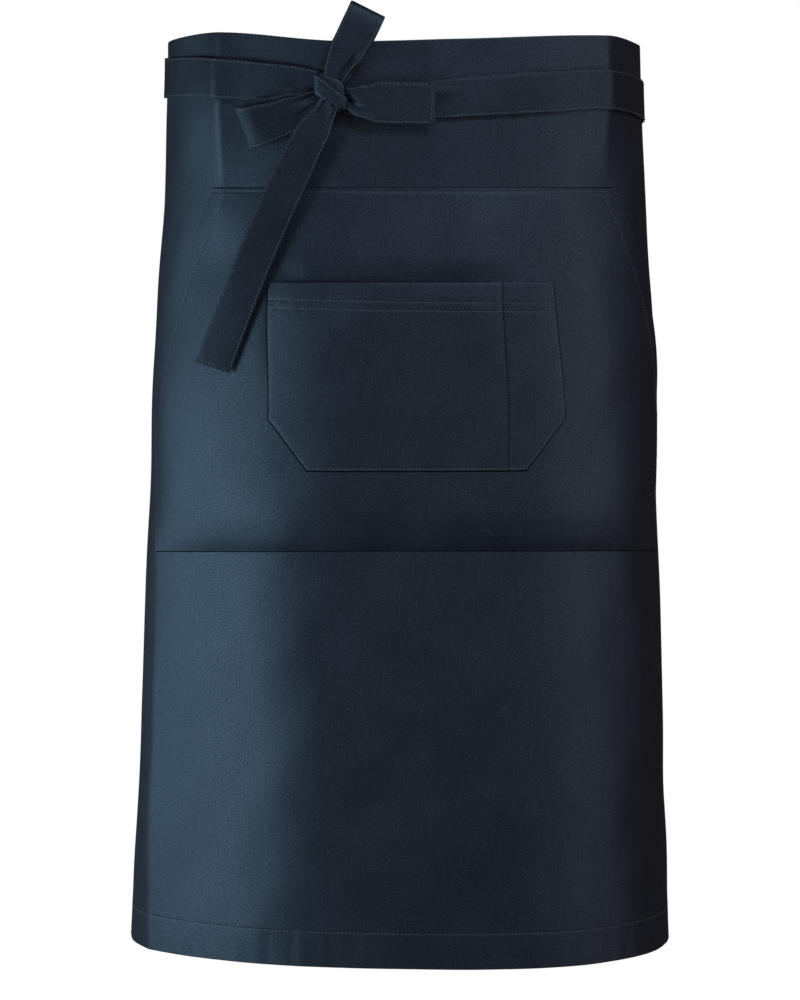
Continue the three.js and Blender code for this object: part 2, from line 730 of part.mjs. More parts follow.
function geometryOf(solid) {
  const mesh = solid.getMesh();
  const geometry = new THREE.BufferGeometry();
  geometry.setAttribute("position", new THREE.BufferAttribute(mesh.vertProperties, 3));
  geometry.setIndex(new THREE.BufferAttribute(mesh.triVerts, 1));
  return geometry;
}

// The knot stops each strip that runs into it, a seat gap away from its surface.
const knotSeat = solidOf(knotGeometry(seatGap));

function stoppedByKnot(geometry) {
  const pieces = solidOf(geometry).subtract(knotSeat).decompose();
  pieces.sort((a, b) => b.volume() - a.volume());
  return geometryOf(pieces[0]);
}

const navyCloth = { color: 0x232d3a, roughness: 0.8, metalness: 0 };

const apron = new THREE.Group();

function addPiece(name, geometry) {
  geometry.computeVertexNormals();
  const mesh = new THREE.Mesh(geometry, new THREE.MeshStandardMaterial(navyCloth));
  mesh.name = name;
  apron.add(mesh);
}

addPiece("skirt_panel", panelGeometry());
addPiece("hand_pocket", handPocketGeometry());
addPiece("order_pocket", orderPocketGeometry());
addPiece("left_tie", stoppedByKnot(stripGeometry(tieStations(leftTieWay, 1))));
addPiece("right_tie", stoppedByKnot(stripGeometry(tieStations(rightTieWay, -1))));
addPiece("knot", knotGeometry(0));
addPiece(
  "long_tail",
  stoppedByKnot(stripGeometry(stationsAlong(bowRows(longTailWay, longTailLength), 3))),
);
addPiece(
  "short_tail",
  stoppedByKnot(stripGeometry(stationsAlong(bowRows(shortTailWay, shortTailLength), 3))),
);
addPiece(
  "side_loop",
  stoppedByKnot(stripGeometry(stationsAlong(bowRows(sideLoopWay, sideLoopLength), 3))),
);
addPiece(
  "upper_loop",
  stoppedByKnot(stripGeometry(stationsAlong(bowRows(upperLoopWay, upperLoopLength), 3))),
);

export default apron;
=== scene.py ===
# Long waist apron in dark navy twill, in the form it has when worn.
# Metres, +Z up, -Y the wearer's front. The solids of the frame are replaced by fine cloth made here.
import math
import bpy
import numpy as np
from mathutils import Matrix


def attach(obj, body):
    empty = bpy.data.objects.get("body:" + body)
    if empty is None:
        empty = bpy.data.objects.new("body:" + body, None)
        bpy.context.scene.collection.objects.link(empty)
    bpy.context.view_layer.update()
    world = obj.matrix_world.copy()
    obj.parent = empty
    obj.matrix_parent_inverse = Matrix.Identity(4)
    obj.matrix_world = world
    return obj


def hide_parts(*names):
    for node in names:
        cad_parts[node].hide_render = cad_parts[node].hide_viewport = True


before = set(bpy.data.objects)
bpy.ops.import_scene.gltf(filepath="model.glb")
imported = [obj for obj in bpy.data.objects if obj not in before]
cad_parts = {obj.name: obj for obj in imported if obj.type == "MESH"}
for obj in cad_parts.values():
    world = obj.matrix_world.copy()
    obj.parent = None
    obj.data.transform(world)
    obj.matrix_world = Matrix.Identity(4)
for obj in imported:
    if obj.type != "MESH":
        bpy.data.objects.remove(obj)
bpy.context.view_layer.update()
mm = 0.001


# Rows of a table as dictionaries, by the names of its columns.
def rowsOf(columns, table):
    return [dict(zip(columns, row)) for row in table]


# form of the worn cloth
panel = {
    "length": 746 * mm,
    "topAboveKnot": 38 * mm,
    "width": 960 * mm,
    "cloth": 1.2 * mm,
    "hemFold": 30 * mm,
    "topFold": 44 * mm,
    "sideFold": 14 * mm,
    "offCentre": 11.5 * mm,  # the panel's middle lies this far to the right
}
wearer = {
    "waistBreadth": 388 * mm,
    "waistDepth": 246 * mm,
    "hemBreadth": 448 * mm,
    "hemDepth": 292 * mm,
    "hemSway": 2.5 * mm,
}
tie = {"width": 33 * mm, "thickness": 1.6 * mm, "rootLap": 42 * mm, "rootBelowTop": 5 * mm}

bodySections = rowsOf(("down", "widen", "squareness"), [
    (-0.02, 0.0, 2.5),
    (0.13, 0.1, 2.4),
    (0.36, 0.38, 2.3),
    (0.58, 0.6, 2.25),
    (0.8, 0.79, 2.2),
    (1.02, 1.01, 2.2),
])
topEdge = rowsOf(("at", "rise"), [  # at is a share of half the panel's width, rise is in tie widths
    (-1, -0.12),
    (-0.6, 0.03),
    (-0.49, 0.12),
    (-0.338, 0.27),
    (-0.14, 0.05),
    (0.07, 0.1),
    (0.335, 0.2),
    (0.45, 0.03),
    (0.6, -0.02),
    (1, -0.12),
])
hemEdge = rowsOf(("at", "rise"), [
    (-1, 0.1),
    (-0.6, 0.13),
    (-0.1, 0.01),
    (0.28, -0.06),
    (0.44, 0),
    (0.6, 0.1),
    (1, 0.1),
])
# sharp upright folds, reach and at in shares of half the panel's width
creases = rowsOf(("at", "reach", "rise", "start", "end"), [
    (-0.338, 0.1, 0.14, -0.1, 0.15),
    (0.335, 0.1, 0.12, -0.1, 0.15),
    (-0.5, 0.08, 0.1, 0.42, 1.4),
    (-0.338, 0.05, 0.1, -0.1, 0.22),
    (0.335, 0.04, 0.03, -0.1, 0.17),
    (-0.338, 0.13, 0.1, -0.04, 0.27),
])
dents = rowsOf(("at", "reach", "down", "length", "rise"), [
    (0.2, 0.16, 0.72, 0.2, 0.1),
    (-0.16, 0.14, 0.9, 0.25, -0.08),
    (0.78, 0.1, 1, 0.5, 0.35),
    (-0.78, 0.1, 1, 0.5, 0.35),
    (-0.205, 0.1, 0.8, 0.42, 0.14),
    (0.47, 0.14, 0.3, 0.2, 0.12),
    (0.47, 0.14, 0.68, 0.14, 0.09),
    (-0.5, 0.12, 0.4, 0.1, 0.06),
    (-0.52, 0.1, 0.93, 0.16, 0.06),
])
edgeFade = 4

topHeight = panel["topAboveKnot"]
hemHeight = topHeight - panel["length"]
halfPanel = panel["width"] / 2


# Smooth value of a table's column.
def tableValue(table, key, column, at):
    keys = np.array([row[key] for row in table], float)
    values = np.array([row[column] for row in table], float)
    at = np.clip(at, keys[0], keys[-1])
    i = np.clip(np.searchsorted(keys, at) - 1, 0, len(keys) - 2)
    low = np.maximum(np.arange(len(keys)) - 1, 0)
    high = np.minimum(np.arange(len(keys)) + 1, len(keys) - 1)
    slope = (values[high] - values[low]) / (keys[high] - keys[low])
    span = keys[i + 1] - keys[i]
    t = (at - keys[i]) / span
    rise = (3 - 2 * t) * t * t
    return (
        values[i] * (1 - rise)
        + values[i + 1] * rise
        + span * (slope[i] * t * (1 - t) ** 2 - slope[i + 1] * t * t * (1 - t))
    )


def smoothStep(start, end, value):
    t = np.clip((value - start) / (end - start), 0, 1)
    return t * t * (3 - 2 * t)


def mix(a, b, share):
    return a + (b - a) * share


# level lines round the wearer, one row of places for each level
levels = np.linspace(hemHeight - 25 * mm, topHeight + 60 * mm, 340)
roundSteps = 1440


def makeSections():
    turn = np.linspace(-math.pi, math.pi, roundSteps + 1)[None, :]
    down = (topHeight - levels) / panel["length"]
    widen = tableValue(bodySections, "down", "widen", down)[:, None]
    power = tableValue(bodySections, "down", "squareness", down)[:, None]
    halfBreadth = mix(wearer["waistBreadth"], wearer["hemBreadth"], widen) / 2
    halfDepth = mix(wearer["waistDepth"], wearer["hemDepth"], widen) / 2
    side = np.abs(np.sin(turn)) / halfBreadth
    front = np.abs(np.cos(turn)) / halfDepth
    radius = (side**power + front**power) ** (-1 / power)
    x = radius * np.sin(turn) - wearer["hemSway"] * widen
    y = -radius * np.cos(turn)
    along = np.zeros_like(x)
    along[:, 1:] = np.cumsum(np.hypot(np.diff(x), np.diff(y)), axis=1)
    girth = along[:, -1]
    places = np.zeros((len(levels), roundSteps + 1, 4))
    shares = np.linspace(0, 1, roundSteps + 1)
    for i in range(len(levels)):
        places[i, :, 0] = np.interp(shares, along[i] / girth[i], x[i])
        places[i, :, 1] = np.interp(shares, along[i] / girth[i], y[i])
    ring = places[:, :-1, :2]
    ahead = np.roll(ring, -1, axis=1) - np.roll(ring, 1, axis=1)
    ahead /= np.linalg.norm(ahead, axis=2, keepdims=True)
    places[:, :-1, 2] = ahead[:, :, 1]
    places[:, :-1, 3] = -ahead[:, :, 0]
    places[:, -1, 2:] = places[:, 0, 2:]
    return places, girth


sections, girths = makeSections()


# x, y and outward normal of the level line, and the place across the panel.
def onSection(distance, height):
    distance, height = np.broadcast_arrays(distance, height)
    level = np.clip((height - levels[0]) / (levels[1] - levels[0]), 0, len(levels) - 1.001)
    low = level.astype(int)
    found = 0
    across = 0
    for row, weight in ((low, 1 - (level - low)), (low + 1, level - low)):
        girth = girths[row]
        share = (distance / girth + 0.5) % 1
        step = share * roundSteps
        i = np.minimum(step.astype(int), roundSteps - 1)
        t = (step - i)[..., None]
        found = found + (sections[row, i] * (1 - t) + sections[row, i + 1] * t) * weight[..., None]
        across = across + (share - 0.5) * girth * weight
    return found, across - panel["offCentre"]


# faint unevenness of cloth that has been worn, shared by all layers; lengths in metres
softWaves = rowsOf(("across", "up", "shift", "rise"), [
    (0.083, 0.31, 0.4, 0.00026),
    (0.137, -0.22, 2.1, 0.00034),
    (-0.29, 0.115, 4.0, 0.0003),
    (0.061, -0.094, 1.2, 0.00013),
    (0.047, 0.27, 5.1, 0.0001),
])


# How far the worn cloth stands out from the plain form.
def foldRise(across, height):
    down = (topHeight - height) / panel["length"]
    at = across / halfPanel
    rise = 0
    for crease in creases:
        near = np.maximum(0, 1 - np.abs(at - crease["at"]) / crease["reach"])
        fade = (crease["end"] - crease["start"]) / 3
        shown = smoothStep(crease["start"], crease["start"] + fade, down) * (
            1 - smoothStep(crease["end"] - fade, crease["end"], down)
        )
        rise = rise + crease["rise"] * near * near * shown
    for dent in dents:
        side = (at - dent["at"]) / dent["reach"]
        drop = (down - dent["down"]) / dent["length"]
        rise = rise + dent["rise"] * np.exp(-side * side - drop * drop)
    rise = rise * panel["hemFold"]
    waves = 0
    for wave in softWaves:
        phase = across / wave["across"] + height / wave["up"]
        waves = waves + wave["rise"] * np.sin(2 * math.pi * phase + wave["shift"])
    return rise + waves * smoothStep(500 * mm, 400 * mm, np.abs(across))


# Points on the worn cloth; distance runs round from the wearer's front middle.
def onBody(distance, height, out):
    distance, height, out = np.broadcast_arrays(distance, height, out)
    place, across = onSection(distance, height)
    reach = (out + foldRise(across, height))[..., None]
    return np.concatenate([place[..., :2] + place[..., 2:] * reach, height[..., None]], axis=-1)


def onPanel(across, height, out):
    return onBody(across + panel["offCentre"], height, out)


def topHeightAt(across):
    return topHeight + tie["width"] * tableValue(topEdge, "at", "rise", across / halfPanel)


# mesh helpers
# Places from 0 to length at most a step apart, with fine ones near the start and the end.
def stops(length, step, near=(), far=()):
    start = near[-1] if len(near) else 0
    end = length - (far[-1] if len(far) else 0)
    count = max(1, math.ceil((end - start) / step))
    middle = np.linspace(start, end, count + 1)
    return np.unique(np.concatenate([near, middle, [length - d for d in far], [0, length]]))


# How much of its half thickness cloth has at a distance from its cut or folded edge.
def roundedShare(distance, thickness):
    t = np.clip(distance / (thickness / 2), 0, 1)
    return np.sqrt(1 - (1 - t) ** 2)


# Closed sheet between two grids of points that meet in a rounded rim. Rows run up.
def sheetObject(name, outer, inner, clothMap, edge, material):
    rows, columns = outer.shape[:2]
    outerIndex = np.arange(rows * columns).reshape(rows, columns)
    innerIndex = outerIndex.copy()
    innerIndex[1:-1, 1:-1] = rows * columns + np.arange((rows - 2) * (columns - 2)).reshape(
        rows - 2, columns - 2
    )
    points = np.concatenate([outer.reshape(-1, 3), inner[1:-1, 1:-1].reshape(-1, 3)])
    flatMap = np.concatenate([clothMap.reshape(-1, 2), clothMap[1:-1, 1:-1].reshape(-1, 2)])
    # edge values: wear with painted highlight on rims, painted shade below 0
    wearAndPaintedLight = np.concatenate([edge.reshape(-1), edge[1:-1, 1:-1].reshape(-1)])

    def quads(index, flip):
        corners = [index[:-1, :-1], index[:-1, 1:], index[1:, 1:], index[1:, :-1]]
        if flip:
            corners.reverse()
        return np.stack(corners, axis=-1).reshape(-1, 4)

    faces = np.concatenate([quads(outerIndex, False), quads(innerIndex, True)])
    return meshObject(name, points, faces, [material], flatMap, wearAndPaintedLight)


def meshObject(name, points, faces, materials, flatMap=None, wearAndPaintedLight=None):
    mesh = bpy.data.meshes.new(name)
    corners = faces.shape[1]
    mesh.vertices.add(len(points))
    mesh.vertices.foreach_set("co", np.asarray(points, np.float32).ravel())
    mesh.loops.add(faces.size)
    mesh.loops.foreach_set("vertex_index", faces.ravel().astype(np.int32))
    mesh.polygons.add(len(faces))
    mesh.polygons.foreach_set("loop_start", np.arange(0, faces.size, corners, dtype=np.int32))
    mesh.update(calc_edges=True)
    mesh.validate()
    if flatMap is not None:
        layer = mesh.uv_layers.new(name="clothMap")
        layer.data.foreach_set("uv", flatMap[faces.ravel()].astype(np.float32).ravel())
    if wearAndPaintedLight is not None:
        # the edge attribute holds wear with painted highlight and painted shade
        attribute = mesh.attributes.new("edge", "FLOAT", "POINT")
        attribute.data.foreach_set("value", wearAndPaintedLight.astype(np.float32))
    mesh.polygons.foreach_set("use_smooth", np.ones(len(faces), bool))
    for material in materials:
        mesh.materials.append(material)
    obj = bpy.data.objects.new(name, mesh)
    bpy.context.scene.collection.objects.link(obj)
    return obj


thread = {"pitch": 3.2 * mm, "stitch": 2.5 * mm, "radius": 0.27 * mm, "sides": 5}
# form of one stitch, from where it comes out of the cloth to where it goes back
arc = rowsOf(("along", "lift", "size"), [
    (0.0, -0.16, 0.6),
    (0.14, 0.08, 0.9),
    (0.5, 0.2, 1.0),
    (0.86, 0.08, 0.9),
    (1.0, -0.16, 0.6),
])


# Small arcs of thread along rows of (points, outward directions).
def stitchObject(name, rows, material):
    wobble = np.random.default_rng(7)
    allPoints = []
    darkShares = []
    for row in rows:
        points, outward = row["points"], row["outward"]
        pitch = row.get("pitch", thread["pitch"])
        reach = row.get("stitch", thread["stitch"])
        along = np.concatenate([[0], np.cumsum(np.linalg.norm(np.diff(points, axis=0), axis=1))])
        count = int((along[-1] - reach) / pitch)
        if count < 1:
            continue
        starts = (along[-1] - count * pitch) / 2 + np.arange(count) * pitch
        starts = starts + wobble.uniform(-0.08, 0.08, count) * mm
        shares = np.array([ring["along"] for ring in arc])
        places = starts[:, None] + shares[None, :] * reach
        centre = np.stack([np.interp(places, along, points[:, k]) for k in range(3)], axis=-1)
        up = np.stack([np.interp(places, along, outward[:, k]) for k in range(3)], axis=-1)
        up /= np.linalg.norm(up, axis=-1, keepdims=True)
        heading = np.gradient(centre, axis=1)
        heading /= np.maximum(np.linalg.norm(heading, axis=-1, keepdims=True), 1e-9)
        sideways = np.cross(heading, up)
        sideways /= np.linalg.norm(sideways, axis=-1, keepdims=True)
        skew = wobble.uniform(-0.09, 0.09, count)[:, None] * (shares - 0.5)[None, :] * mm * 2
        lift = np.array([ring["lift"] for ring in arc])[None, :, None] * mm
        centre = centre + up * lift + sideways * skew[..., None]
        turn = np.arange(thread["sides"]) / thread["sides"] * 2 * math.pi
        size = np.array([ring["size"] for ring in arc])[None, :, None, None] * thread["radius"]
        circle = sideways[:, :, None, :] * np.cos(turn)[None, None, :, None]
        circle = circle + up[:, :, None, :] * np.sin(turn)[None, None, :, None] * 0.8
        allPoints.append(centre[:, :, None, :] + circle * size)
        darkShares += [int(row.get("dark", False))] * count
    rings = np.concatenate(allPoints)
    count = len(rings)
    index = np.arange(count * len(arc) * thread["sides"]).reshape(count, len(arc), thread["sides"])
    here, beside = index[:, :-1, :], np.roll(index, -1, axis=2)[:, :-1, :]
    ahead, besideAhead = index[:, 1:, :], np.roll(index, -1, axis=2)[:, 1:, :]
    faces = np.stack([here, beside, besideAhead, ahead], axis=-1).reshape(-1, 4)
    threads = [material, darkThread] if any(darkShares) else [material]
    obj = meshObject(name, rings.reshape(-1, 3), faces, threads)
    perStitch = (len(arc) - 1) * thread["sides"]
    obj.data.polygons.foreach_set("material_index", np.repeat(np.array(darkShares, np.int32), perStitch))
    return obj


# Row whose place(lift) gives its points with that lift off the cloth.
def stitchRow(place, outwardStep=1 * mm, **settings):
    points = place(0)
    outward = place(outwardStep) - points
    outward /= np.linalg.norm(outward, axis=1, keepdims=True)
    return {"points": points, "outward": outward, **settings}


# The same for a place function that takes two places on the cloth and a distance off it.
def rowOn(place, across, up, base, side=1, **settings):
    return stitchRow(lambda lift: place(across, up, base + side * lift), **settings)


groove = {"depth": 0.17 * mm, "reach": 0.75 * mm}
pucker = {"rise": 0.11 * mm, "reach": 4.5 * mm, "length": 9.5 * mm}


# How the cloth's face dips in along a row of stitches, with faint puckers beside it.
def seamDip(distance, along, depthShare=1.0):
    dip = -groove["depth"] * np.exp(-((distance / groove["reach"]) ** 2))
    beat = np.sin(2 * math.pi * along / pucker["length"] + 1.3 * np.sin(along / (31 * mm)))
    swell = pucker["rise"] * beat * np.exp(-((distance / pucker["reach"]) ** 2))
    return (dip + swell) * depthShare


# materials
# Linear RGBA from an sRGB hex colour.
def linearColor(text):
    values = [int(text[i : i + 2], 16) / 255 for i in (0, 2, 4)]
    return (*(v / 12.92 if v <= 0.04045 else ((v + 0.055) / 1.055) ** 2.4 for v in values), 1.0)


def addNode(tree, kind, settings=None, inputs=None, links=None):
    node = tree.nodes.new(kind)
    for name, value in (settings or {}).items():
        setattr(node, name, value)
    for name, value in (inputs or {}).items():
        node.inputs[name].default_value = value
    for name, source in (links or {}).items():
        tree.links.new(source, node.inputs[name])
    return node


def newMaterial(name):
    material = bpy.data.materials.new(name)
    material.use_nodes = True
    tree = material.node_tree
    tree.nodes.clear()
    return material, tree


def scaled(tree, color, scale):
    settings = {"operation": "SCALE"}
    return addNode(tree, "ShaderNodeVectorMath", settings, {0: color}, {"Scale": scale}).outputs[0]


def finishMaterial(tree, inputs, links):
    shader = addNode(tree, "ShaderNodeBsdfPrincipled", inputs=inputs, links=links)
    addNode(tree, "ShaderNodeOutputMaterial", links={0: shader.outputs[0]})


def multiply(tree, a, b):
    return addNode(tree, "ShaderNodeMath", {"operation": "MULTIPLY"}, links={0: a, 1: b}).outputs[0]


# Maps a value from start..end to low..high.
def spread(tree, value, low, high, start=0.0, end=1.0):
    inputs = {"From Min": start, "From Max": end, "To Min": low, "To Max": high}
    return addNode(tree, "ShaderNodeMapRange", inputs=inputs, links={"Value": value}).outputs[0]


twillLook = {
    "color": "17212f",
    "lightYarn": "47525f",
    "reflection": (0.6, 0.75, 1.05),
    "roughness": 0.52,
    "ribSpacing": 1.6 * mm,  # real ribs stand 0.55 mm apart, drawn coarser so that they show
    "ribAngle": 52,
    "grain": 0.92 * mm,
    "bump": 0.08 * mm,
    "dyeGrain": 0.1,  # unevenness of the yarns' colour and of their shine
    "shineGrain": 0.36,
}
tieLook = {  # doubled and pressed, so smoother and with less shine
    **twillLook,
    "ribAngle": -38,
    "bump": 0.06 * mm,
    "reflection": (0.5, 0.61, 0.84),
}


# Cotton and polyester twill: dark yarns with paler ones among them in fine diagonal ribs, with the
# soft bluish shine of its polyester.
def makeTwill(name, look):
    material, tree = newMaterial(name)
    place = addNode(tree, "ShaderNodeUVMap", {"uv_map": "clothMap"}).outputs["UV"]

    def noise(vector, scale, detail, roughness):
        inputs = {"Scale": scale, "Detail": detail, "Roughness": roughness}
        node = addNode(tree, "ShaderNodeTexNoise", inputs=inputs, links={"Vector": vector})
        return node.outputs["Fac"]

    def mapping(**inputs):
        return addNode(tree, "ShaderNodeMapping", inputs=inputs, links={"Vector": place}).outputs[0]

    turned = mapping(Rotation=(0, 0, math.radians(look["ribAngle"])))
    ribs = addNode(
        tree,
        "ShaderNodeTexWave",
        {"wave_type": "BANDS", "bands_direction": "X"},
        {
            "Scale": 2 * math.pi / (20 * look["ribSpacing"]),
            "Distortion": 1.6,
            "Detail": 1.0,
            "Detail Scale": 1.6,
        },
        {"Vector": turned},
    ).outputs["Fac"]
    warp = noise(mapping(Scale=(1.0, 0.6, 1.0)), 1 / look["grain"], 1.0, 0.6)
    weft = noise(mapping(Scale=(0.6, 1.0, 1.0), Location=(0.7, 0.3, 0)), 1.15 / look["grain"], 1.0, 0.6)
    specks = noise(mapping(Location=(0.2, 0.9, 0)), 1.5 / look["grain"], 0.0, 0.5)
    slubs = noise(mapping(Scale=(1.0, 0.12, 1.0)), 0.45 / look["grain"], 2.0, 0.6)
    cloud = noise(place, 22.0, 3.0, 0.55)
    # The edge attribute lightens worn rims, partly as a painted highlight, and below 0 darkens the cloth
    # as painted shade along sewn edges and the pen seam.
    edge = addNode(tree, "ShaderNodeAttribute", {"attribute_name": "edge"}).outputs["Fac"]
    tone = multiply(tree, spread(tree, cloud, 0.93, 1.07, 0.3, 0.7), spread(tree, ribs, 0.95, 1.05))
    tone = multiply(tree, tone, spread(tree, edge, 1.0, 1.5))
    tone = multiply(tree, tone, spread(tree, edge, 0.12, 1.0, -1.0, 0.0))

    # The colour with the yarns' own unevenness of up to a share called grain.
    def toned(color, grain):
        yarns = multiply(
            tree,
            spread(tree, warp, 1 - grain, 1 + grain, 0.3, 0.7),
            spread(tree, weft, 1 - grain, 1 + grain, 0.3, 0.7),
        )
        yarns = multiply(tree, yarns, spread(tree, slubs, 1 - grain / 4, 1 + grain / 4, 0.3, 0.7))
        return scaled(tree, color, multiply(tree, tone, yarns))

    dyed = addNode(
        tree,
        "ShaderNodeMix",
        {"data_type": "RGBA"},
        {"B": linearColor(look["lightYarn"])},
        {
            "Factor": spread(tree, specks, 0.0, 0.3, 0.66, 0.82),
            "A": toned(linearColor(look["color"])[:3], look["dyeGrain"]),
        },
    ).outputs["Result"]
    height = addNode(
        tree,
        "ShaderNodeMath",
        {"operation": "ADD"},
        links={0: multiply(tree, ribs, warp), 1: weft},
    ).outputs[0]
    bump = addNode(
        tree,
        "ShaderNodeBump",
        inputs={"Strength": 0.8, "Distance": look["bump"]},
        links={"Height": height},
    ).outputs[0]
    links = {
        "Base Color": dyed,
        "Specular Tint": toned(look["reflection"], look["shineGrain"]),
        "Normal": bump,
        "Roughness": spread(tree, cloud, look["roughness"] - 0.03, look["roughness"] + 0.03, 0.3, 0.7),
    }
    finishMaterial(tree, {"Specular IOR Level": 1.0, "Sheen Weight": 0.0}, links)
    return material


# Spun polyester sewing thread: smoother than the cloth, so it catches small glints.
def makeThread(name, color):
    material, tree = newMaterial(name)
    place = addNode(tree, "ShaderNodeTexCoord").outputs["Object"]
    tone = addNode(
        tree, "ShaderNodeTexNoise", inputs={"Scale": 900.0, "Detail": 1.0}, links={"Vector": place}
    ).outputs["Fac"]
    dyed = scaled(tree, linearColor(color)[:3], spread(tree, tone, 0.6, 1.4, 0.3, 0.7))
    finishMaterial(tree, {"Roughness": 0.5, "Sheen Weight": 0.1}, {"Base Color": dyed})
    return material


panelTwill = makeTwill("dark navy cotton and polyester twill", twillLook)
pocketTwill = makeTwill("dark navy twill of the pockets", twillLook)
tieTwill = makeTwill("dark navy twill of the ties", tieLook)
seamThread = makeThread("navy polyester thread", "6a727c")
darkThread = makeThread("darker navy polyester thread", "0b0f16")
print("stage: materials made")

# panel
skirtPiece = {
    "column": 3.7 * mm,
    "row": 7 * mm,
    "inner": 0.8 * mm,
    "innerFold": 1.0 * mm,
    "hemRow": 28.6 * mm,
    "topRow": 42.4 * mm,
    "sideRow": 12.4 * mm,
}
edgeStops = np.array([0, 0.12, 0.35, 0.7, 1.3, 2.2]) * mm


# Places close together on both sides of a row of stitches.
def rowStops(centre):
    return list(centre + np.array([-3.2, -1.8, -0.9, -0.4, 0, 0.4, 0.9, 1.8, 3.2]) * mm)


# Lighter rim along cut and folded edges, partly worn and partly a painted highlight.
def wornEdgeAndPaintedHighlight(distance):
    return np.exp(-((distance / (0.9 * mm)) ** 2))


# Places near a sewn edge under which the turned-in allowance shows by a lip.
def sewnStops(lip):
    onLip = lip * np.array([0, 0.15, 0.5, 0.85])
    onFold = lip + np.array([0, 0.06, 0.18, 0.45, 0.9, 1.6]) * mm
    return np.array([*onLip, *onFold])


# How far the face drops from the folded edge to the allowance under it.
def lipStep(distance, lip, cloth):
    return (cloth - 0.3 * mm) * (1 - roundedShare(np.maximum(distance - lip, 0), 1.0 * mm))


# Painted shade below 0, along the shadow line of a sewn edge. Above 0 the fold itself is lighter, partly
# worn and partly a painted highlight.
def paintedLipShadeAndHighlight(distance, lip):
    shade = 1 - smoothStep(lip, lip + 0.12 * mm, distance)
    fold = np.exp(-(((distance - lip - 0.3 * mm) / (0.4 * mm)) ** 2))
    return fold * 0.7 * (1 - shade) - shade


def skirtPlace(across, above, out):
    upShare = above / panel["length"]
    topLift = (topHeightAt(across) - topHeight) * upShare**edgeFade
    hemLift = tie["width"] * tableValue(hemEdge, "at", "rise", across / halfPanel)
    height = hemHeight + above + topLift + hemLift * (1 - upShare) ** edgeFade
    return onPanel(across, height, out)


def makeSkirt():
    hemRow, topRow, sideRow = skirtPiece["hemRow"], skirtPiece["topRow"], skirtPiece["sideRow"]
    nearSide = np.array([*edgeStops, 5 * mm, *rowStops(sideRow)])
    columns = stops(panel["width"], skirtPiece["column"], nearSide, nearSide)
    nearHem = np.array([*edgeStops, 6 * mm, 12 * mm, 18 * mm, 23 * mm, *rowStops(hemRow)])
    nearTop = np.array([*edgeStops, 6 * mm, 12 * mm, 20 * mm, 30 * mm, 37 * mm, *rowStops(topRow)])
    rows = stops(panel["length"], skirtPiece["row"], nearHem, nearTop)
    across = columns[None, :] - halfPanel
    above = rows[:, None]
    across, above = np.broadcast_arrays(across, above)
    below = panel["length"] - above
    fromSide = halfPanel - np.abs(across)
    fromEdge = np.minimum(np.minimum(above, below), fromSide)
    folded = 1 - smoothStep(-0.5 * mm, 0.5 * mm, fromSide - panel["sideFold"]) * smoothStep(
        -0.5 * mm, 0.5 * mm, above - panel["hemFold"]
    ) * smoothStep(-0.5 * mm, 0.5 * mm, below - panel["topFold"])
    thickness = skirtPiece["inner"] + skirtPiece["innerFold"] * folded
    rim = (1 - roundedShare(fromEdge, 1.4 * mm)) * thickness / 2
    face = seamDip(above - hemRow, across) + seamDip(fromSide - sideRow, above)
    face = face + 0.6 * seamDip(below - topRow, across)
    ripple = np.sin(2 * math.pi * across / (17 * mm) + 2.4 * np.sin(across / (47 * mm)))
    ripple = ripple + 0.6 * np.sin(2 * math.pi * across / (9.7 * mm) + 1.7 * np.sin(across / (29 * mm)))
    inHem = smoothStep(-6 * mm, 6 * mm, hemRow - above)
    face = face + 0.17 * mm * ripple * inHem
    outer = skirtPlace(across, above, face * roundedShare(fromEdge, 2 * mm) - rim)
    inner = skirtPlace(across, above, face * roundedShare(fromEdge, 2 * mm) - thickness + rim)
    clothMap = np.stack([across, above], axis=-1)
    obj = sheetObject("skirt_cloth", outer, inner, clothMap, wornEdgeAndPaintedHighlight(fromEdge), panelTwill)

    rows = []
    levelLine = np.linspace(-halfPanel + 3 * mm, halfPanel - 3 * mm, 500)
    uprightLine = np.linspace(3 * mm, panel["length"] - 3 * mm, 300)
    for side, base in ((1, -groove["depth"]), (-1, -skirtPiece["inner"] - skirtPiece["innerFold"])):
        for place in (hemRow, panel["length"] - topRow):
            rows.append(rowOn(skirtPlace, levelLine, np.full(500, place), base, side))
        for place in (-halfPanel + sideRow, halfPanel - sideRow):
            rows.append(rowOn(skirtPlace, np.full(300, place), uprightLine, base, side))
    return obj, stitchObject("skirt_stitches", rows, seamThread)


skirt, skirtStitches = makeSkirt()
print("stage: skirt made")

# hand pocket
handPocket = {
    "drop": 116 * mm,
    "height": 292 * mm,
    "topWidth": 338 * mm,
    "widest": 494 * mm,
    "footWidth": 474 * mm,
    "openingFoot": 108 * mm,
    "openingBow": 7 * mm,
    "cornerSag": 7 * mm,
    "fullness": 7.5 * mm,
    "cornerLift": 1.6 * mm,
    "seat": 0.15 * mm,
    "cloth": 1.0 * mm,
    "openingHem": 15 * mm,
    "topRow": 3.6 * mm,
    "tackRow": 6.4 * mm,  # second short row at both top corners
    "sideRow": 2 * mm,
    "slant": 0.93,  # distance from a slanting edge for each distance along the level
    "lip": 0.5 * mm,
    "mapAt": (1.37, 0.4),  # place of its foot's middle on the cloth map
}
mouthRecess = {  # where the hand pocket sinks in behind the order pocket's mouth
    "belowTop": 76 * mm,
    "depth": 4.4 * mm,
    "above": (19 * mm, -3 * mm),
    "below": (-90 * mm, -40 * mm),
    "left": (-128 * mm, -96 * mm),
    "right": (104 * mm, 30 * mm),
}
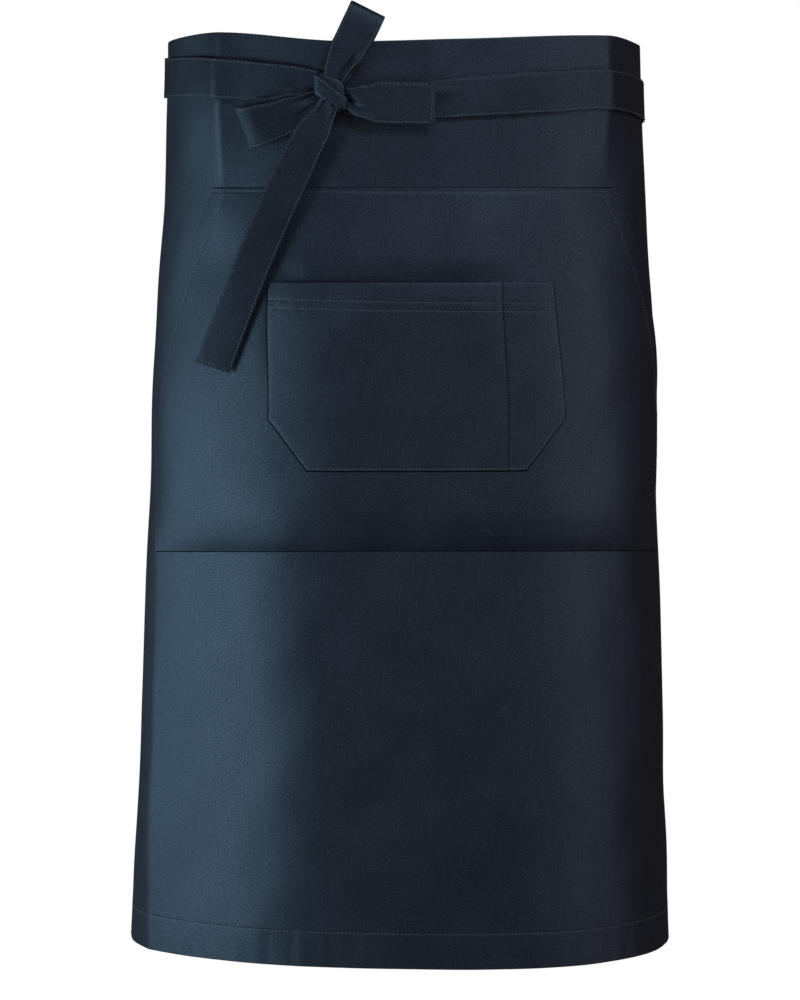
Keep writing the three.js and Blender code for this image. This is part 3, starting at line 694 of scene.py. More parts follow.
handPocketRoom = rowsOf(("up", "middle", "side"), [
    (0, 0, 0),
    (0.04, 0.5, 0),
    (0.12, 0.95, 0),
    (0.37, 1, 0),
    (0.5, 0.95, 0.35),
    (0.7, 0.85, 0.5),
    (0.8, 0.5, 0.45),
    (0.9, 0.3, 0.3),
    (1, 0, 0),
])
handPocketTop = topHeight - handPocket["drop"]
handPocketBottom = handPocketTop - handPocket["height"]
openingFootShare = handPocket["openingFoot"] / handPocket["height"]


def handPocketHalfWidth(up):
    low = mix(handPocket["footWidth"], handPocket["widest"], up / openingFootShare) / 2
    t = (up - openingFootShare) / (1 - openingFootShare)
    bow = handPocket["openingBow"] * 4 * t * (1 - t)
    high = mix(handPocket["widest"], handPocket["topWidth"], t) / 2 + bow
    return np.where(up <= openingFootShare, low, high)


def handPocketGap(share, up):
    middle = tableValue(handPocketRoom, "up", "middle", up)
    side = tableValue(handPocketRoom, "up", "side", up)
    room = np.maximum(0, mix(middle, side, np.abs(share) ** 6))
    corner = smoothStep(0.82, 1, np.abs(share)) * smoothStep(0.13, 0, up)
    return handPocket["seat"] + handPocket["fullness"] * room + handPocket["cornerLift"] * corner


def handPocketPlace(across, up, out):
    share = across / handPocketHalfWidth(up)
    sag = handPocket["cornerSag"] * share**2 * (1 - up)
    height = handPocketBottom + handPocket["height"] * up - sag
    return onPanel(across, height, handPocketGap(share, up) + out)


# Outside of the hand pocket's cloth, or the panel's own, at a place on the panel.
def handPocketOutside(across, height):
    sagShare = np.minimum(1, np.abs(across) / (handPocket["footWidth"] / 2)) ** 2
    bottom = handPocketBottom - handPocket["cornerSag"] * sagShare
    up = (height - bottom) / (handPocketTop - bottom)
    share = across / handPocketHalfWidth(up)
    on = (up >= 0) & (up <= 1) & (np.abs(share) <= 1)
    return np.where(on, handPocketGap(np.clip(share, -1, 1), np.clip(up, 0, 1)) + handPocket["cloth"], 0)


# Places from start to end in each row, at fixed distances near both and evenly between.
def fineSpan(start, end, count, nearStart, nearEnd):
    first, last = start + nearStart[-1], end - nearEnd[-1]
    middle = first + (last - first) * np.linspace(0, 1, count + 2)[None, 1:-1]
    return np.concatenate([start + nearStart, middle, end - nearEnd[::-1]], axis=1)


# How far this cloth sinks behind the order pocket's mouth.
def mouthHollow(across, height):
    fromMouth = height - (handPocketTop - mouthRecess["belowTop"])
    down = smoothStep(*mouthRecess["above"], fromMouth) * smoothStep(*mouthRecess["below"], fromMouth)
    beside = smoothStep(*mouthRecess["left"], across) * smoothStep(*mouthRecess["right"], across)
    return mouthRecess["depth"] * down * beside


def makeHandPocket():
    lip, slant = handPocket["lip"], handPocket["slant"]
    openingHem = handPocket["openingHem"]
    topRow, sideRow = handPocket["topRow"], handPocket["sideRow"]
    edge = sewnStops(lip)
    fine = np.array([*edge, 4 * mm, 6 * mm, 9 * mm, *rowStops(openingHem / slant)])
    nearTop = np.array([*edge, *rowStops(topRow)[3:], 9 * mm])
    rows = stops(handPocket["height"], 4.2 * mm, np.array([*edge, 4 * mm, 6 * mm, 9 * mm]), nearTop)
    up = (rows / handPocket["height"])[:, None]
    half = handPocketHalfWidth(up)
    across = fineSpan(-half, half, 116, fine, fine)
    up = np.broadcast_to(up, across.shape)
    fromSide = (half - np.abs(across)) * slant
    fromFoot = up * handPocket["height"]
    fromTop = (1 - up) * handPocket["height"]
    fromEdge = np.minimum(np.minimum(fromFoot, fromTop), fromSide)
    opening = smoothStep(openingFootShare - 0.01, openingFootShare + 0.01, up)
    fromSewn = np.minimum(np.minimum(fromFoot, fromTop), fromSide + opening)
    hemmed = 1 - smoothStep(-0.5 * mm, 0.5 * mm, fromSide - openingHem - 1.2 * mm)
    extraInside = 0.6 * mm * hemmed * opening * smoothStep(0, 3 * mm, fromTop)
    cloth = handPocket["cloth"]
    rim = (1 - roundedShare(fromEdge, cloth)) * cloth / 2
    face = seamDip(fromSide - openingHem, fromFoot) * opening
    face = face + seamDip(fromTop - topRow, across)
    face = face + seamDip(fromSide - sideRow, fromFoot) * (1 - opening)
    face = face * roundedShare(fromEdge, 2 * mm)
    droop = 0.2 * mm * np.sin(2 * math.pi * across / (17 * mm) + 1.5 * np.sin(across / (60 * mm)))
    face = face + np.maximum(0, droop) * np.exp(-fromFoot / (9 * mm))
    step = lipStep(fromSewn, lip, cloth)
    hollow = mouthHollow(across, handPocketBottom + fromFoot)
    outer = handPocketPlace(across, up, cloth + face - rim - step - hollow)
    inside = np.minimum(face, 0) * 0.4 - extraInside * 0.2 + rim * (step <= 0) - hollow
    inner = handPocketPlace(across, up, inside)
    clothMap = np.stack([across, fromFoot], axis=-1) + handPocket["mapAt"]
    # Painted shade along the sewn edges' lips, and lighter open edges, partly worn and partly a painted
    # highlight.
    wearAndPaintedLight = paintedLipShadeAndHighlight(fromSewn, lip) + 0.9 * wornEdgeAndPaintedHighlight(fromEdge) * opening * (fromSewn > 2 * lip)
    obj = sheetObject("hand_pocket_cloth", outer, inner, clothMap, wearAndPaintedLight, pocketTwill)
    base = cloth - groove["depth"]
    rows = []
    topLine = np.linspace(-1, 1, 300) * (handPocket["topWidth"] / 2 - 3 * mm)
    topUp = np.full(300, 1 - topRow / handPocket["height"])
    rows.append(rowOn(handPocketPlace, topLine, topUp, base))
    for sign in (-1, 1):
        tackLine = sign * (handPocket["topWidth"] / 2 - np.linspace(2 * mm, 26 * mm, 40))
        tackUp = np.full(40, 1 - handPocket["tackRow"] / handPocket["height"])
        rows.append(rowOn(handPocketPlace, tackLine, tackUp, cloth, pitch=2.6 * mm, stitch=2.1 * mm))
        slantUp = np.linspace(openingFootShare + 0.005, 0.982, 200)
        slantAcross = sign * (handPocketHalfWidth(slantUp) - openingHem / slant)
        rows.append(rowOn(handPocketPlace, slantAcross, slantUp, base))
        sideUp = np.linspace(0.01, openingFootShare + 0.03, 120)
        sideAcross = sign * (handPocketHalfWidth(sideUp) - sideRow / slant)
        rows.append(rowOn(handPocketPlace, sideAcross, sideUp, base))
    return obj, stitchObject("hand_pocket_stitches", rows, seamThread)


handPocketCloth, handPocketStitches = makeHandPocket()
print("stage: hand pocket made")

# order pocket
orderPocket = {
    "drop": 192 * mm,
    "depth": 152 * mm,
    "mouth": 230 * mm,
    "widest": 239 * mm,
    "foot": 174 * mm,
    "corner": 42 * mm,
    "mouthLean": 5 * mm,
    "gape": 5 * mm,
    "penWidth": 50 * mm,
    "penGape": 2.2 * mm,
    "penGroove": 1.9,  # depth of its seam's groove, in those of the other rows
    "cloth": 1.1 * mm,
    "edgeRow": 2.6 * mm,
    "cornerSlant": 0.79,
    # the wider left lip gives a broader painted shade line beside the pocket's left edge
    "leftLip": 1.5 * mm,  # how far the turned-in allowance shows beside the folded edge
    "rightLip": 0.9 * mm,
    "mouthRowsLeft": [13.8 * mm, 20.9 * mm],
    "mouthRowsRight": [17.0 * mm, 23.9 * mm],
    "mapAt": (2.61, 0.9),
}
orderPocketTop = topHeight - orderPocket["drop"]
cornerShare = orderPocket["corner"] / orderPocket["depth"]
# distance of the pen seam from the pocket's middle line
penSeamAt = orderPocket["widest"] / 2 - orderPocket["penWidth"] + 2.5 * mm


def orderPocketHalfWidth(up):
    low = mix(orderPocket["foot"], orderPocket["widest"], up / cornerShare) / 2
    high = mix(orderPocket["widest"], orderPocket["mouth"], (up - cornerShare) / (1 - cornerShare)) / 2
    return np.where(up <= cornerShare, low, high)


def orderPocketMiddle(up):
    return -orderPocket["mouthLean"] * smoothStep(cornerShare, 1, up)


def orderPocketGap(offset, up):
    lift = np.maximum(up, 0) ** 1.5
    half = orderPocketHalfWidth(up)
    inSlot = offset > penSeamAt
    start = np.where(inSlot, penSeamAt, -half)
    end = np.where(inSlot, np.maximum(half, penSeamAt + 1 * mm), penSeamAt)
    t = (offset - start) / (end - start)
    arch = 1 - np.abs(2 * t - 1) ** 2.4
    gape = np.where(inSlot, orderPocket["penGape"], orderPocket["gape"])
    return 0.15 * mm + gape * np.clip(arch, 0, 1) * lift


# offset is the distance from the pocket's own middle line.
def orderPocketPlace(offset, up, out):
    across = orderPocketMiddle(up) + offset
    height = orderPocketTop - orderPocket["depth"] * (1 - up)
    room = handPocketOutside(across, height) + orderPocketGap(offset, up)
    return onPanel(across, height, room + out)


def makeOrderPocket():
    leftLip, rightLip = orderPocket["leftLip"], orderPocket["rightLip"]
    nearLeft = np.array([*sewnStops(leftLip), 4.2 * mm, 6.4 * mm])
    nearRight = np.array([*sewnStops(rightLip), 3.4 * mm, 4.8 * mm, 6.4 * mm])
    nearSeam = np.array([0, 0.4, 0.9, 1.6, 2.6, 4.0]) * mm
    nearFoot = np.array([*sewnStops(rightLip), 3.4 * mm, 4.8 * mm, 7 * mm])
    nearTop = np.array([*edgeStops, 5 * mm, 9 * mm, *(np.arange(12, 26.1, 0.75) * mm)])
    rows = stops(orderPocket["depth"], 3 * mm, nearFoot, nearTop)
    rows = np.unique(np.concatenate([rows, [orderPocket["corner"]]]))
    up = (rows / orderPocket["depth"])[:, None]
    half = orderPocketHalfWidth(up)
    seam = np.full(half.shape, penSeamAt)
    left = fineSpan(-half, seam, 62, nearLeft, nearSeam)
    right = fineSpan(seam, half, 13, nearSeam, nearRight)
    offset = np.concatenate([left, right[:, 1:]], axis=1)
    up = np.broadcast_to(up, offset.shape)
    cornerSlope = smoothStep(cornerShare + 0.02, cornerShare - 0.02, up)
    fromSide = (half - np.abs(offset)) * mix(1, orderPocket["cornerSlant"], cornerSlope)
    fromFoot = up * orderPocket["depth"]
    fromMouth = (1 - up) * orderPocket["depth"]
    fromSewn = np.minimum(fromFoot, fromSide)
    fromEdge = np.minimum(fromSewn, fromMouth)
    cloth = orderPocket["cloth"]
    rim = (1 - roundedShare(fromEdge, cloth)) * cloth / 2
    toRight = (offset / half + 1) / 2
    face = seamDip(fromSewn - orderPocket["edgeRow"], fromFoot + offset, 0.9)
    for left, right in zip(orderPocket["mouthRowsLeft"], orderPocket["mouthRowsRight"]):
        face = face + seamDip(fromMouth - mix(left, right, toRight), offset)
    fromPenSeam = offset - penSeamAt
    face = face + orderPocket["penGroove"] * seamDip(fromPenSeam, fromFoot)
    face = face * roundedShare(fromEdge, 2 * mm)
    lip = np.where((offset < 0) & (fromSide <= fromFoot), leftLip, rightLip)
    step = lipStep(fromSewn, lip, cloth)
    outer = orderPocketPlace(offset, up, cloth + face - rim - step)
    inner = orderPocketPlace(offset, up, rim * (step <= 0))
    clothMap = np.stack([offset, fromFoot], axis=-1) + orderPocket["mapAt"]
    # Lighter mouth rim, partly worn and partly a painted highlight, and painted shade along the sewn
    # edges' lips.
    wearAndPaintedLight = np.where(fromMouth < fromSewn, wornEdgeAndPaintedHighlight(fromMouth), paintedLipShadeAndHighlight(fromSewn, lip))
    # Painted shade in the pen seam's groove.
    wearAndPaintedLight = wearAndPaintedLight - 0.55 * np.exp(-((fromPenSeam / (0.8 * mm)) ** 2)) * smoothStep(0, 4 * mm, fromSewn)
    obj = sheetObject("order_pocket_cloth", outer, inner, clothMap, wearAndPaintedLight, pocketTwill)
    base = cloth - groove["depth"]
    rows = []
    inset = orderPocket["edgeRow"]
    sideUp = np.linspace(cornerShare, 0.985, 160)
    cornerUp = np.linspace(inset / orderPocket["depth"], cornerShare, 60)
    footHalf = orderPocket["foot"] / 2
    footLine = np.linspace(-footHalf, footHalf, 160)
    footUp = np.full(160, inset / orderPocket["depth"])
    rows.append(rowOn(orderPocketPlace, footLine, footUp, base))
    for sign in (-1, 1):
        sideLine = sign * (orderPocketHalfWidth(sideUp) - inset)
        rows.append(rowOn(orderPocketPlace, sideLine, sideUp, base))
        cornerLine = sign * (orderPocketHalfWidth(cornerUp) - inset / orderPocket["cornerSlant"])
        rows.append(rowOn(orderPocketPlace, cornerLine, cornerUp, base))
    for left, right in zip(orderPocket["mouthRowsLeft"], orderPocket["mouthRowsRight"]):
        toRight = np.linspace(0.012, 0.988, 200)
        mouthUp = 1 - mix(left, right, toRight) / orderPocket["depth"]
        mouthLine = (toRight * 2 - 1) * orderPocketHalfWidth(mouthUp)
        rows.append(rowOn(orderPocketPlace, mouthLine, mouthUp, base))
    penUp = np.linspace(0.02, 0.99, 160)
    penLine = np.full(160, penSeamAt)
    deep = cloth - orderPocket["penGroove"] * groove["depth"]
    rows.append(rowOn(orderPocketPlace, penLine, penUp, deep, dark=True))
    return obj, stitchObject("order_pocket_stitches", rows, seamThread)


orderPocketCloth, orderPocketStitches = makeOrderPocket()
print("stage: order pocket made")

# ties and bow
bow = {
    "knotLeft": 57.5 * mm,
    "knotBreadth": 26 * mm,
    "knotHeight": 22 * mm,
    "knotFall": 12.5 * mm,
    "knotDepth": 15 * mm,
    "knotFlare": 0.1,
    "longTail": 241 * mm,
    "shortTail": 83 * mm,
    "sideLoop": 73 * mm,
    "upperLoop": 70 * mm,
}
onPanelOut = 0.65 * mm + tie["thickness"] / 2
overTieOut = onPanelOut + tie["thickness"] + 0.65 * mm
halfGirth = float(np.interp(0, levels, girths)) / 2
knotDistance = -bow["knotLeft"]
knotOut = 0.3 * mm + 2.2 * mm + bow["knotDepth"] / 2
rootRound = (halfPanel - tie["rootLap"]) / halfGirth
offRound = panel["offCentre"] / halfGirth
rootUp = (float(topHeightAt(halfPanel)) - tie["rootBelowTop"]) / tie["width"] - 0.5

wayColumns = ("round", "up", "out", "over", "width", "pleat")
rightTieWay = [
    (rootRound - offRound, rootUp, 0, 0, 1, 0),
    (0.92, rootUp - 0.2, 0, 0, 1, 0),
    (0.98, rootUp - 0.6, 0, 0, 1, 0),
    (1.05, rootUp - 1.07, 0, 0, 1, 0),
    (1.15, rootUp - 1.14, 0, 0, 1, 0),
    (1.3, -0.55, 0, 0, 1, 0),
    (1.45, -0.32, 0, 0, 1, 0),
    (1.55, -0.2, 0.01, 0, 1, 0),
    (1.675, 0.03, 0.05, 0, 1, 0),
    (1.79, -0.05, 0.07, 0, 1, 0),
    (1.89, -0.15, 0.08, 0, 0.97, 0),
    (1.98, -0.26, 0.08, 0, 0.88, 0),
    (2.045, -0.38, 0.08, 0, 0.7, 0.02),
    (2.1, -0.32, 0.16, 0, 0.45, 0.04),
]
leftTieWay = [
    (rootRound + offRound, rootUp, 0, 0, 1, 0),
    (0.9, rootUp, 0, 0.25, 1, 0),
    (0.94, rootUp + 0.02, 0, 1, 1, 0),
    (1.16, rootUp + 0.02, 0, 1, 1, 0),
    (1.24, rootUp, 0.02, 0.3, 1, 0),
    (1.36, 0.4, 0.01, 0, 1, 0),
    (1.47, 0.35, 0.01, 0, 1, 0),
    (1.57, 0.33, 0.02, 0, 1, 0),
    (1.67, 0.33, 0.07, 0, 0.99, 0),
    (1.74, 0.26, 0.11, 0, 0.97, 0),
    (1.79, 0.2, 0.1, 0, 0.92, 0),
    (1.835, 0.2, 0.06, 0, 0.76, 0.01),
    (1.875, 0.2, 0.02, 0, 0.45, 0.02),
]

bowColumns = ("side", "up", "out", "turn", "tilt", "width", "pleat")
longTailWay = [
    (0.02, -0.16, 0.1, -103, -4, 0.4, 0.06),
    (-0.1, -0.5, 0.2, -107, -8, 0.52, 0.05),
    (-0.4, -1.05, 0.28, -113, -12, 0.8, 0.01),
    (-0.9, -2.1, 0.26, -113, -16, 0.86, 0),
    (-1.86, -4.4, 0.26, -113, -20, 0.84, 0),
    (-2.77, -6.76, 0.24, -115, -22, 0.85, 0),
]
shortTailWay = [
    (0.06, -0.1, 0.02, 0, 0, 0.4, 0.04),
    (0.4, -0.19, 0.05, 0, 0, 0.52, 0.02),
    (0.75, -0.27, 0.07, 1, 0, 0.8, 0),
    (1.2, -0.3, 0.05, 3, 0, 1.03, 0),
    (2.5, -0.32, 0.02, 5, 0, 1.02, 0),
]
sideLoopWay = [
    (-0.16, -0.14, -0.08, 12, 10, 0.3, 0.03),
    (-0.5, -0.28, -0.08, 12, 10, 0.5, 0.03),
    (-1.1, -0.52, -0.07, 13, 16, 0.88, 0),
    (-1.85, -0.76, -0.04, 13, 16, 1.03, 0),
    (-2.1, -0.88, 0.06, 14, 16, 1.04, 0),
    (-2.1, -0.94, 0.2, 14, 16, 1.04, 0),
    (-1.85, -0.92, 0.28, 13, 16, 1.03, 0),
    (-1.1, -0.66, 0.14, 13, 10, 0.88, 0),
    (-0.5, -0.3, 0.03, 12, 6, 0.5, 0.04),
    (-0.16, -0.12, 0.01, 12, 6, 0.3, 0.03),
]
upperLoopWay = [
    (0.08, 0.1, -0.1, -117, 0, 0.4, 0.02),
    (0.22, 0.48, -0.12, -117, 0, 0.6, 0.015),
    (0.46, 1, -0.16, -117, 0, 0.84, 0),
    (0.78, 1.72, -0.16, -117, 0, 0.9, 0),
    (0.88, 1.94, -0.08, -117, 0, 0.9, 0),
    (0.88, 1.94, 0.06, -117, 0, 0.9, 0),
    (0.76, 1.66, 0.16, -117, 0, 0.9, 0),
    (0.42, 1, 0.16, -117, 0, 0.84, 0),
    (0.16, 0.5, 0.12, -117, 0, 0.6, 0),
    (0.04, 0.12, 0.08, -117, 0, 0.4, 0),
]


def finishStrip(centre, widthway, width, pleat):
    heading = np.gradient(centre, axis=0)
    heading /= np.linalg.norm(heading, axis=1, keepdims=True)
    widthway = widthway - heading * np.sum(heading * widthway, axis=1, keepdims=True)
    widthway /= np.linalg.norm(widthway, axis=1, keepdims=True)
    face = np.cross(heading, widthway)
    along = np.concatenate([[0], np.cumsum(np.linalg.norm(np.diff(centre, axis=0), axis=1))])
    return {
        "centre": centre,
        "widthway": widthway,
        "face": face,
        "width": width,
        "pleat": pleat,
        "along": along,
        "valleys": [],
    }


# The same strip with stations a step apart, and close together at both its ends.
def evened(strip, step):
    length = strip["along"][-1]
    fine = np.array([0, 0.12, 0.4, 0.8, 1.4, 2.0, 2.7]) * mm
    places = stops(length, step, fine, fine)
    parts = {}
    for key in ("centre", "widthway", "face"):
        columns = [np.interp(places, strip["along"], strip[key][:, k]) for k in range(3)]
        value = np.stack(columns, axis=-1)
        parts[key] = value if key == "centre" else value / np.linalg.norm(value, axis=1, keepdims=True)
    for key in ("width", "pleat"):
        parts[key] = np.interp(places, strip["along"], strip[key])
    return {**strip, **parts, "along": places}


def waistTie(way, direction):
    rows = rowsOf(wayColumns, way)
    steps = 900
    rounds = np.linspace(rows[0]["round"], rows[-1]["round"], steps)
    value = {key: tableValue(rows, "round", key, rounds) for key in wayColumns}
    out = onPanelOut + value["out"] * tie["width"] + value["over"] * (overTieOut - onPanelOut)
    centre = np.stack([direction * rounds * halfGirth, value["up"] * tie["width"], out], axis=-1)
    widthway = np.tile([0.0, 1.0, 0.0], (steps, 1))
    strip = finishStrip(centre, widthway, value["width"] * tie["width"], value["pleat"] * tie["width"])
    return evened(strip, 2.6 * mm)


# Centripetal curve through points, in the same form as the frame's.
def smoothLine(points, perSpan):
    points = np.array(points, float)
    padded = np.concatenate([[2 * points[0] - points[1]], points, [2 * points[-1] - points[-2]]])
    found = []
    for i in range(1, len(padded) - 2):
        p0, p1, p2, p3 = padded[i - 1 : i + 3]
        gaps = [max(np.linalg.norm(b - a) ** 0.5, 1e-6) for a, b in ((p0, p1), (p1, p2), (p2, p3))]
        before, here, after = gaps
        middle = (p2 - p1) / here
        slopeStart = ((p1 - p0) / before - (p2 - p0) / (before + here) + middle) * here
        slopeEnd = (middle - (p3 - p1) / (here + after) + (p3 - p2) / after) * here
        last = i == len(padded) - 3
        t = np.linspace(0, 1, perSpan + 1)[: perSpan + 1 if last else perSpan, None]
        c2 = -3 * p1 + 3 * p2 - 2 * slopeStart - slopeEnd
        c3 = 2 * p1 - 2 * p2 + slopeStart + slopeEnd
        found.append(p1 + slopeStart * t + c2 * t**2 + c3 * t**3)
    return np.concatenate(found)


def bowStrip(way, length, step=1.6 * mm):
    rows = rowsOf(bowColumns, way)
    stretch = length / (max(math.hypot(row["side"], row["up"]) for row in rows) * tie["width"])
    points = [
        (
            knotDistance + row["side"] * tie["width"] * stretch,
            row["up"] * tie["width"] * stretch,
            knotOut + row["out"] * tie["width"],
        )
        for row in rows
    ]
    perSpan = 40
    centre = smoothLine(points, perSpan)
    place = np.linspace(0, len(rows) - 1, len(centre))
    low = np.minimum(place.astype(int), len(rows) - 2)
    share = smoothStep(0, 1, place - low)

    def value(key):
        column = np.array([row[key] for row in rows], float)
        return mix(column[low], column[low + 1], share)

    turn, tilt = np.radians(value("turn")), np.radians(value("tilt"))
    level = np.cos(tilt)
    widthway = np.stack([-np.sin(turn) * level, np.cos(turn) * level, np.sin(tilt)], axis=-1)
    strip = finishStrip(centre, widthway, value("width") * tie["width"], value("pleat") * tie["width"])
    return evened(strip, step)


# Points at a share from -1 to 1 of the strip's half width, lifted off its middle surface.
def stripPlace(strip, share, lift):
    fold = 0.5 * np.cos(2 * math.pi * (share + 1)) * strip["pleat"][:, None]
    along = strip["along"][:, None]
    for valley in strip["valleys"]:
        part = np.clip((along - valley["start"]) / (valley["end"] - valley["start"]), 0, 1)
        middle = mix(valley["first"], valley["last"], part)
        shown = smoothStep(0, 0.3, part) * (1 - smoothStep(0.45, 1, part))
        beside = (share - middle) * strip["width"][:, None] / 2 / valley["reach"]
        fold = fold + valley["rise"] * shown * np.exp(-beside * beside)
    place = (
        strip["centre"][:, None, :]
        + strip["widthway"][:, None, :] * (share * strip["width"][:, None] / 2)[..., None]
        + strip["face"][:, None, :] * (fold + lift)[..., None]
    )
    return onBody(place[..., 0], place[..., 1], place[..., 2])


def stripShares():
    half = tie["width"] / 2
    near = np.array([0, 0.1, 0.3, 0.6, 1.0, 1.4, 1.8, 2.2, 2.7, 3.4, 4.4]) * mm
    fine = 1 - near / half
    middle = np.linspace(-fine[-1], fine[-1], 15)[1:-1]
    return np.concatenate([-fine, middle, fine[::-1]])


tieEdgeRow = 1.9 * mm


# Doubled cloth strip, topstitched along both edges and across its far end if endRow is given.
def makeStrip(name, strip, endRow=None, mapAt=0.0):
    shares = stripShares()[None, :]
    along = strip["along"][:, None]
    length = strip["along"][-1]
    shares, along = np.broadcast_arrays(shares, along)
    half = strip["width"][:, None] / 2
    fromSide = (1 - np.abs(shares)) * tie["width"] / 2
    fromEnd = np.minimum(along, length - along)
    fromEdge = np.minimum(fromSide, fromEnd)
    thickness = tie["thickness"]
    body = roundedShare(fromEdge, thickness) * thickness / 2
    dip = seamDip(fromSide - tieEdgeRow, along, 0.7)
    if endRow is not None:
        dip = dip + seamDip(length - along - endRow, shares * half, 0.7)
    dip = dip * roundedShare(fromEdge, 2 * mm)
    outer = stripPlace(strip, shares, body + np.minimum(dip, 0.1 * mm))
    inner = stripPlace(strip, shares, -body - np.minimum(dip, 0.1 * mm))
    clothMap = np.stack([shares * tie["width"] / 2 + mapAt, along + mapAt], axis=-1)
    obj = sheetObject(name, outer, inner, clothMap, wornEdgeAndPaintedHighlight(fromEdge), tieTwill)
    rows = []
    inset = 1 - tieEdgeRow / (tie["width"] / 2)
    base = thickness / 2 - 0.7 * groove["depth"]

    def level(line, face, lift):
        return np.full(line.shape, face * (base + lift))

    kept = (strip["along"] > 2 * mm) & (strip["along"] < length - 2.2 * mm)
    part = {key: value if key == "valleys" else value[kept] for key, value in strip.items()}
    for face in (1, -1):
        for sign in (1, -1):
            line = np.full((int(kept.sum()), 1), sign * inset)
            rows.append(stitchRow(lambda lift: stripPlace(part, line, level(line, face, lift))[:, 0]))
        if endRow is not None:
            station = int(np.argmin(np.abs(strip["along"] - (length - endRow))))
            end = {
                key: value if key == "valleys" else value[station : station + 1]
                for key, value in strip.items()
            }
            line = np.linspace(-inset, inset, 40)[None, :]
            rows.append(stitchRow(lambda lift: stripPlace(end, line, level(line, face, lift))[0]))
    return obj, stitchObject(name + "_stitches", rows, seamThread)


# folds pressed in where the cloth is gathered; first and last are shares of half the width
valleys = rowsOf(("start", "end", "first", "last", "reach", "rise"), [
    (0.5, 0.545, -0.25, -0.1, 4.5 * mm, -1.5 * mm),
    (0.585, 0.663, 0.4, 0.1, 4 * mm, -1 * mm),
    (-0.012, 0.03, -0.2, -0.5, 2 * mm, 3.2 * mm),
    (-0.012, 0.034, -0.2, -0.45, 4.4 * mm, -4.6 * mm),
    (0.12, 0.158, 0.2, 0.0, 3 * mm, -1.6 * mm),
    (0.1, 0.152, 0.62, 0.5, 1.5 * mm, -2.6 * mm),
])
stripRows = [  # name, middle line, node, distance of the row across its end, place on the cloth map
    ("left_tie_cloth", waistTie(leftTieWay, 1), "left_tie", None, 3.3),
    ("right_tie_cloth", waistTie(rightTieWay, -1), "right_tie", None, 3.9),
    ("long_tail_cloth", bowStrip(longTailWay, bow["longTail"]), "long_tail", 2.4 * mm, 4.4),
    ("short_tail_cloth", bowStrip(shortTailWay, bow["shortTail"]), "short_tail", 2.6 * mm, 4.9),
    ("side_loop_cloth", bowStrip(sideLoopWay, bow["sideLoop"], 1.3 * mm), "side_loop", None, 5.2),
    ("upper_loop_cloth", bowStrip(upperLoopWay, bow["upperLoop"], 1.3 * mm), "upper_loop", None, 5.6),
]
strips = {}
for (name, strip, node, endRow, mapAt), valley in zip(stripRows, valleys):
    strip["valleys"] = [valley]
    cloth, stitches = makeStrip(name, strip, endRow, mapAt)
    length = float(strip["along"][-1])
    strips[name] = {"cloth": cloth, "stitches": stitches, "node": node, "length": length}
lengths = {name: round(piece["length"], 3) for name, piece in strips.items()}
print("stage: ties and bow strips made", lengths)

# knot: the tie wrapped once round, its lower turn lying over the upper one
knot = {
    "cloth": 1.5 * mm,
    "inset": 1.4 * mm,  # from its outline to the middle of the cloth
    "squareness": 4.5,
    "endRadius": 9 * mm,
    "mapRadius": 10 * mm,
    "mapAt": 6.1,
}
knotBands = rowsOf(("low", "highLeft", "highRight", "lift", "row"), [
    (-0.2, 0.5, 0.5, -1.0, False),
    (-0.5, 0.36, 0.02, 0.75, True),
])


# share runs from -1 at the band's lower edge to 1 at its upper one.
def knotSurface(band, turn, share, lift):
    cosine, sine = np.cos(turn), np.sin(turn)
    power = knot["squareness"]
    squareness = (np.abs(cosine) ** power + np.abs(sine) ** power) ** (-1 / power)
    high = mix(band["highLeft"], band["highRight"], smoothStep(-1, 1, cosine * squareness))
    along = mix(band["low"], high, (share + 1) / 2)
    bulge = 1 - 0.16 * np.clip((np.abs(along) - 0.3) / 0.2, 0, 1) ** 2
    reach = lift + band["lift"] * mm
    side = cosine * squareness * (bulge * bow["knotBreadth"] / 2 - knot["inset"] + reach)
    depth = sine * squareness * (bulge * bow["knotDepth"] / 2 - knot["inset"] + reach)
    toRight = side / (bow["knotBreadth"] / 2)
    rise = along * bow["knotHeight"] * (1 + bow["knotFlare"] * toRight)
    return onBody(knotDistance + side, rise - toRight * bow["knotFall"] / 2, knotOut + depth)


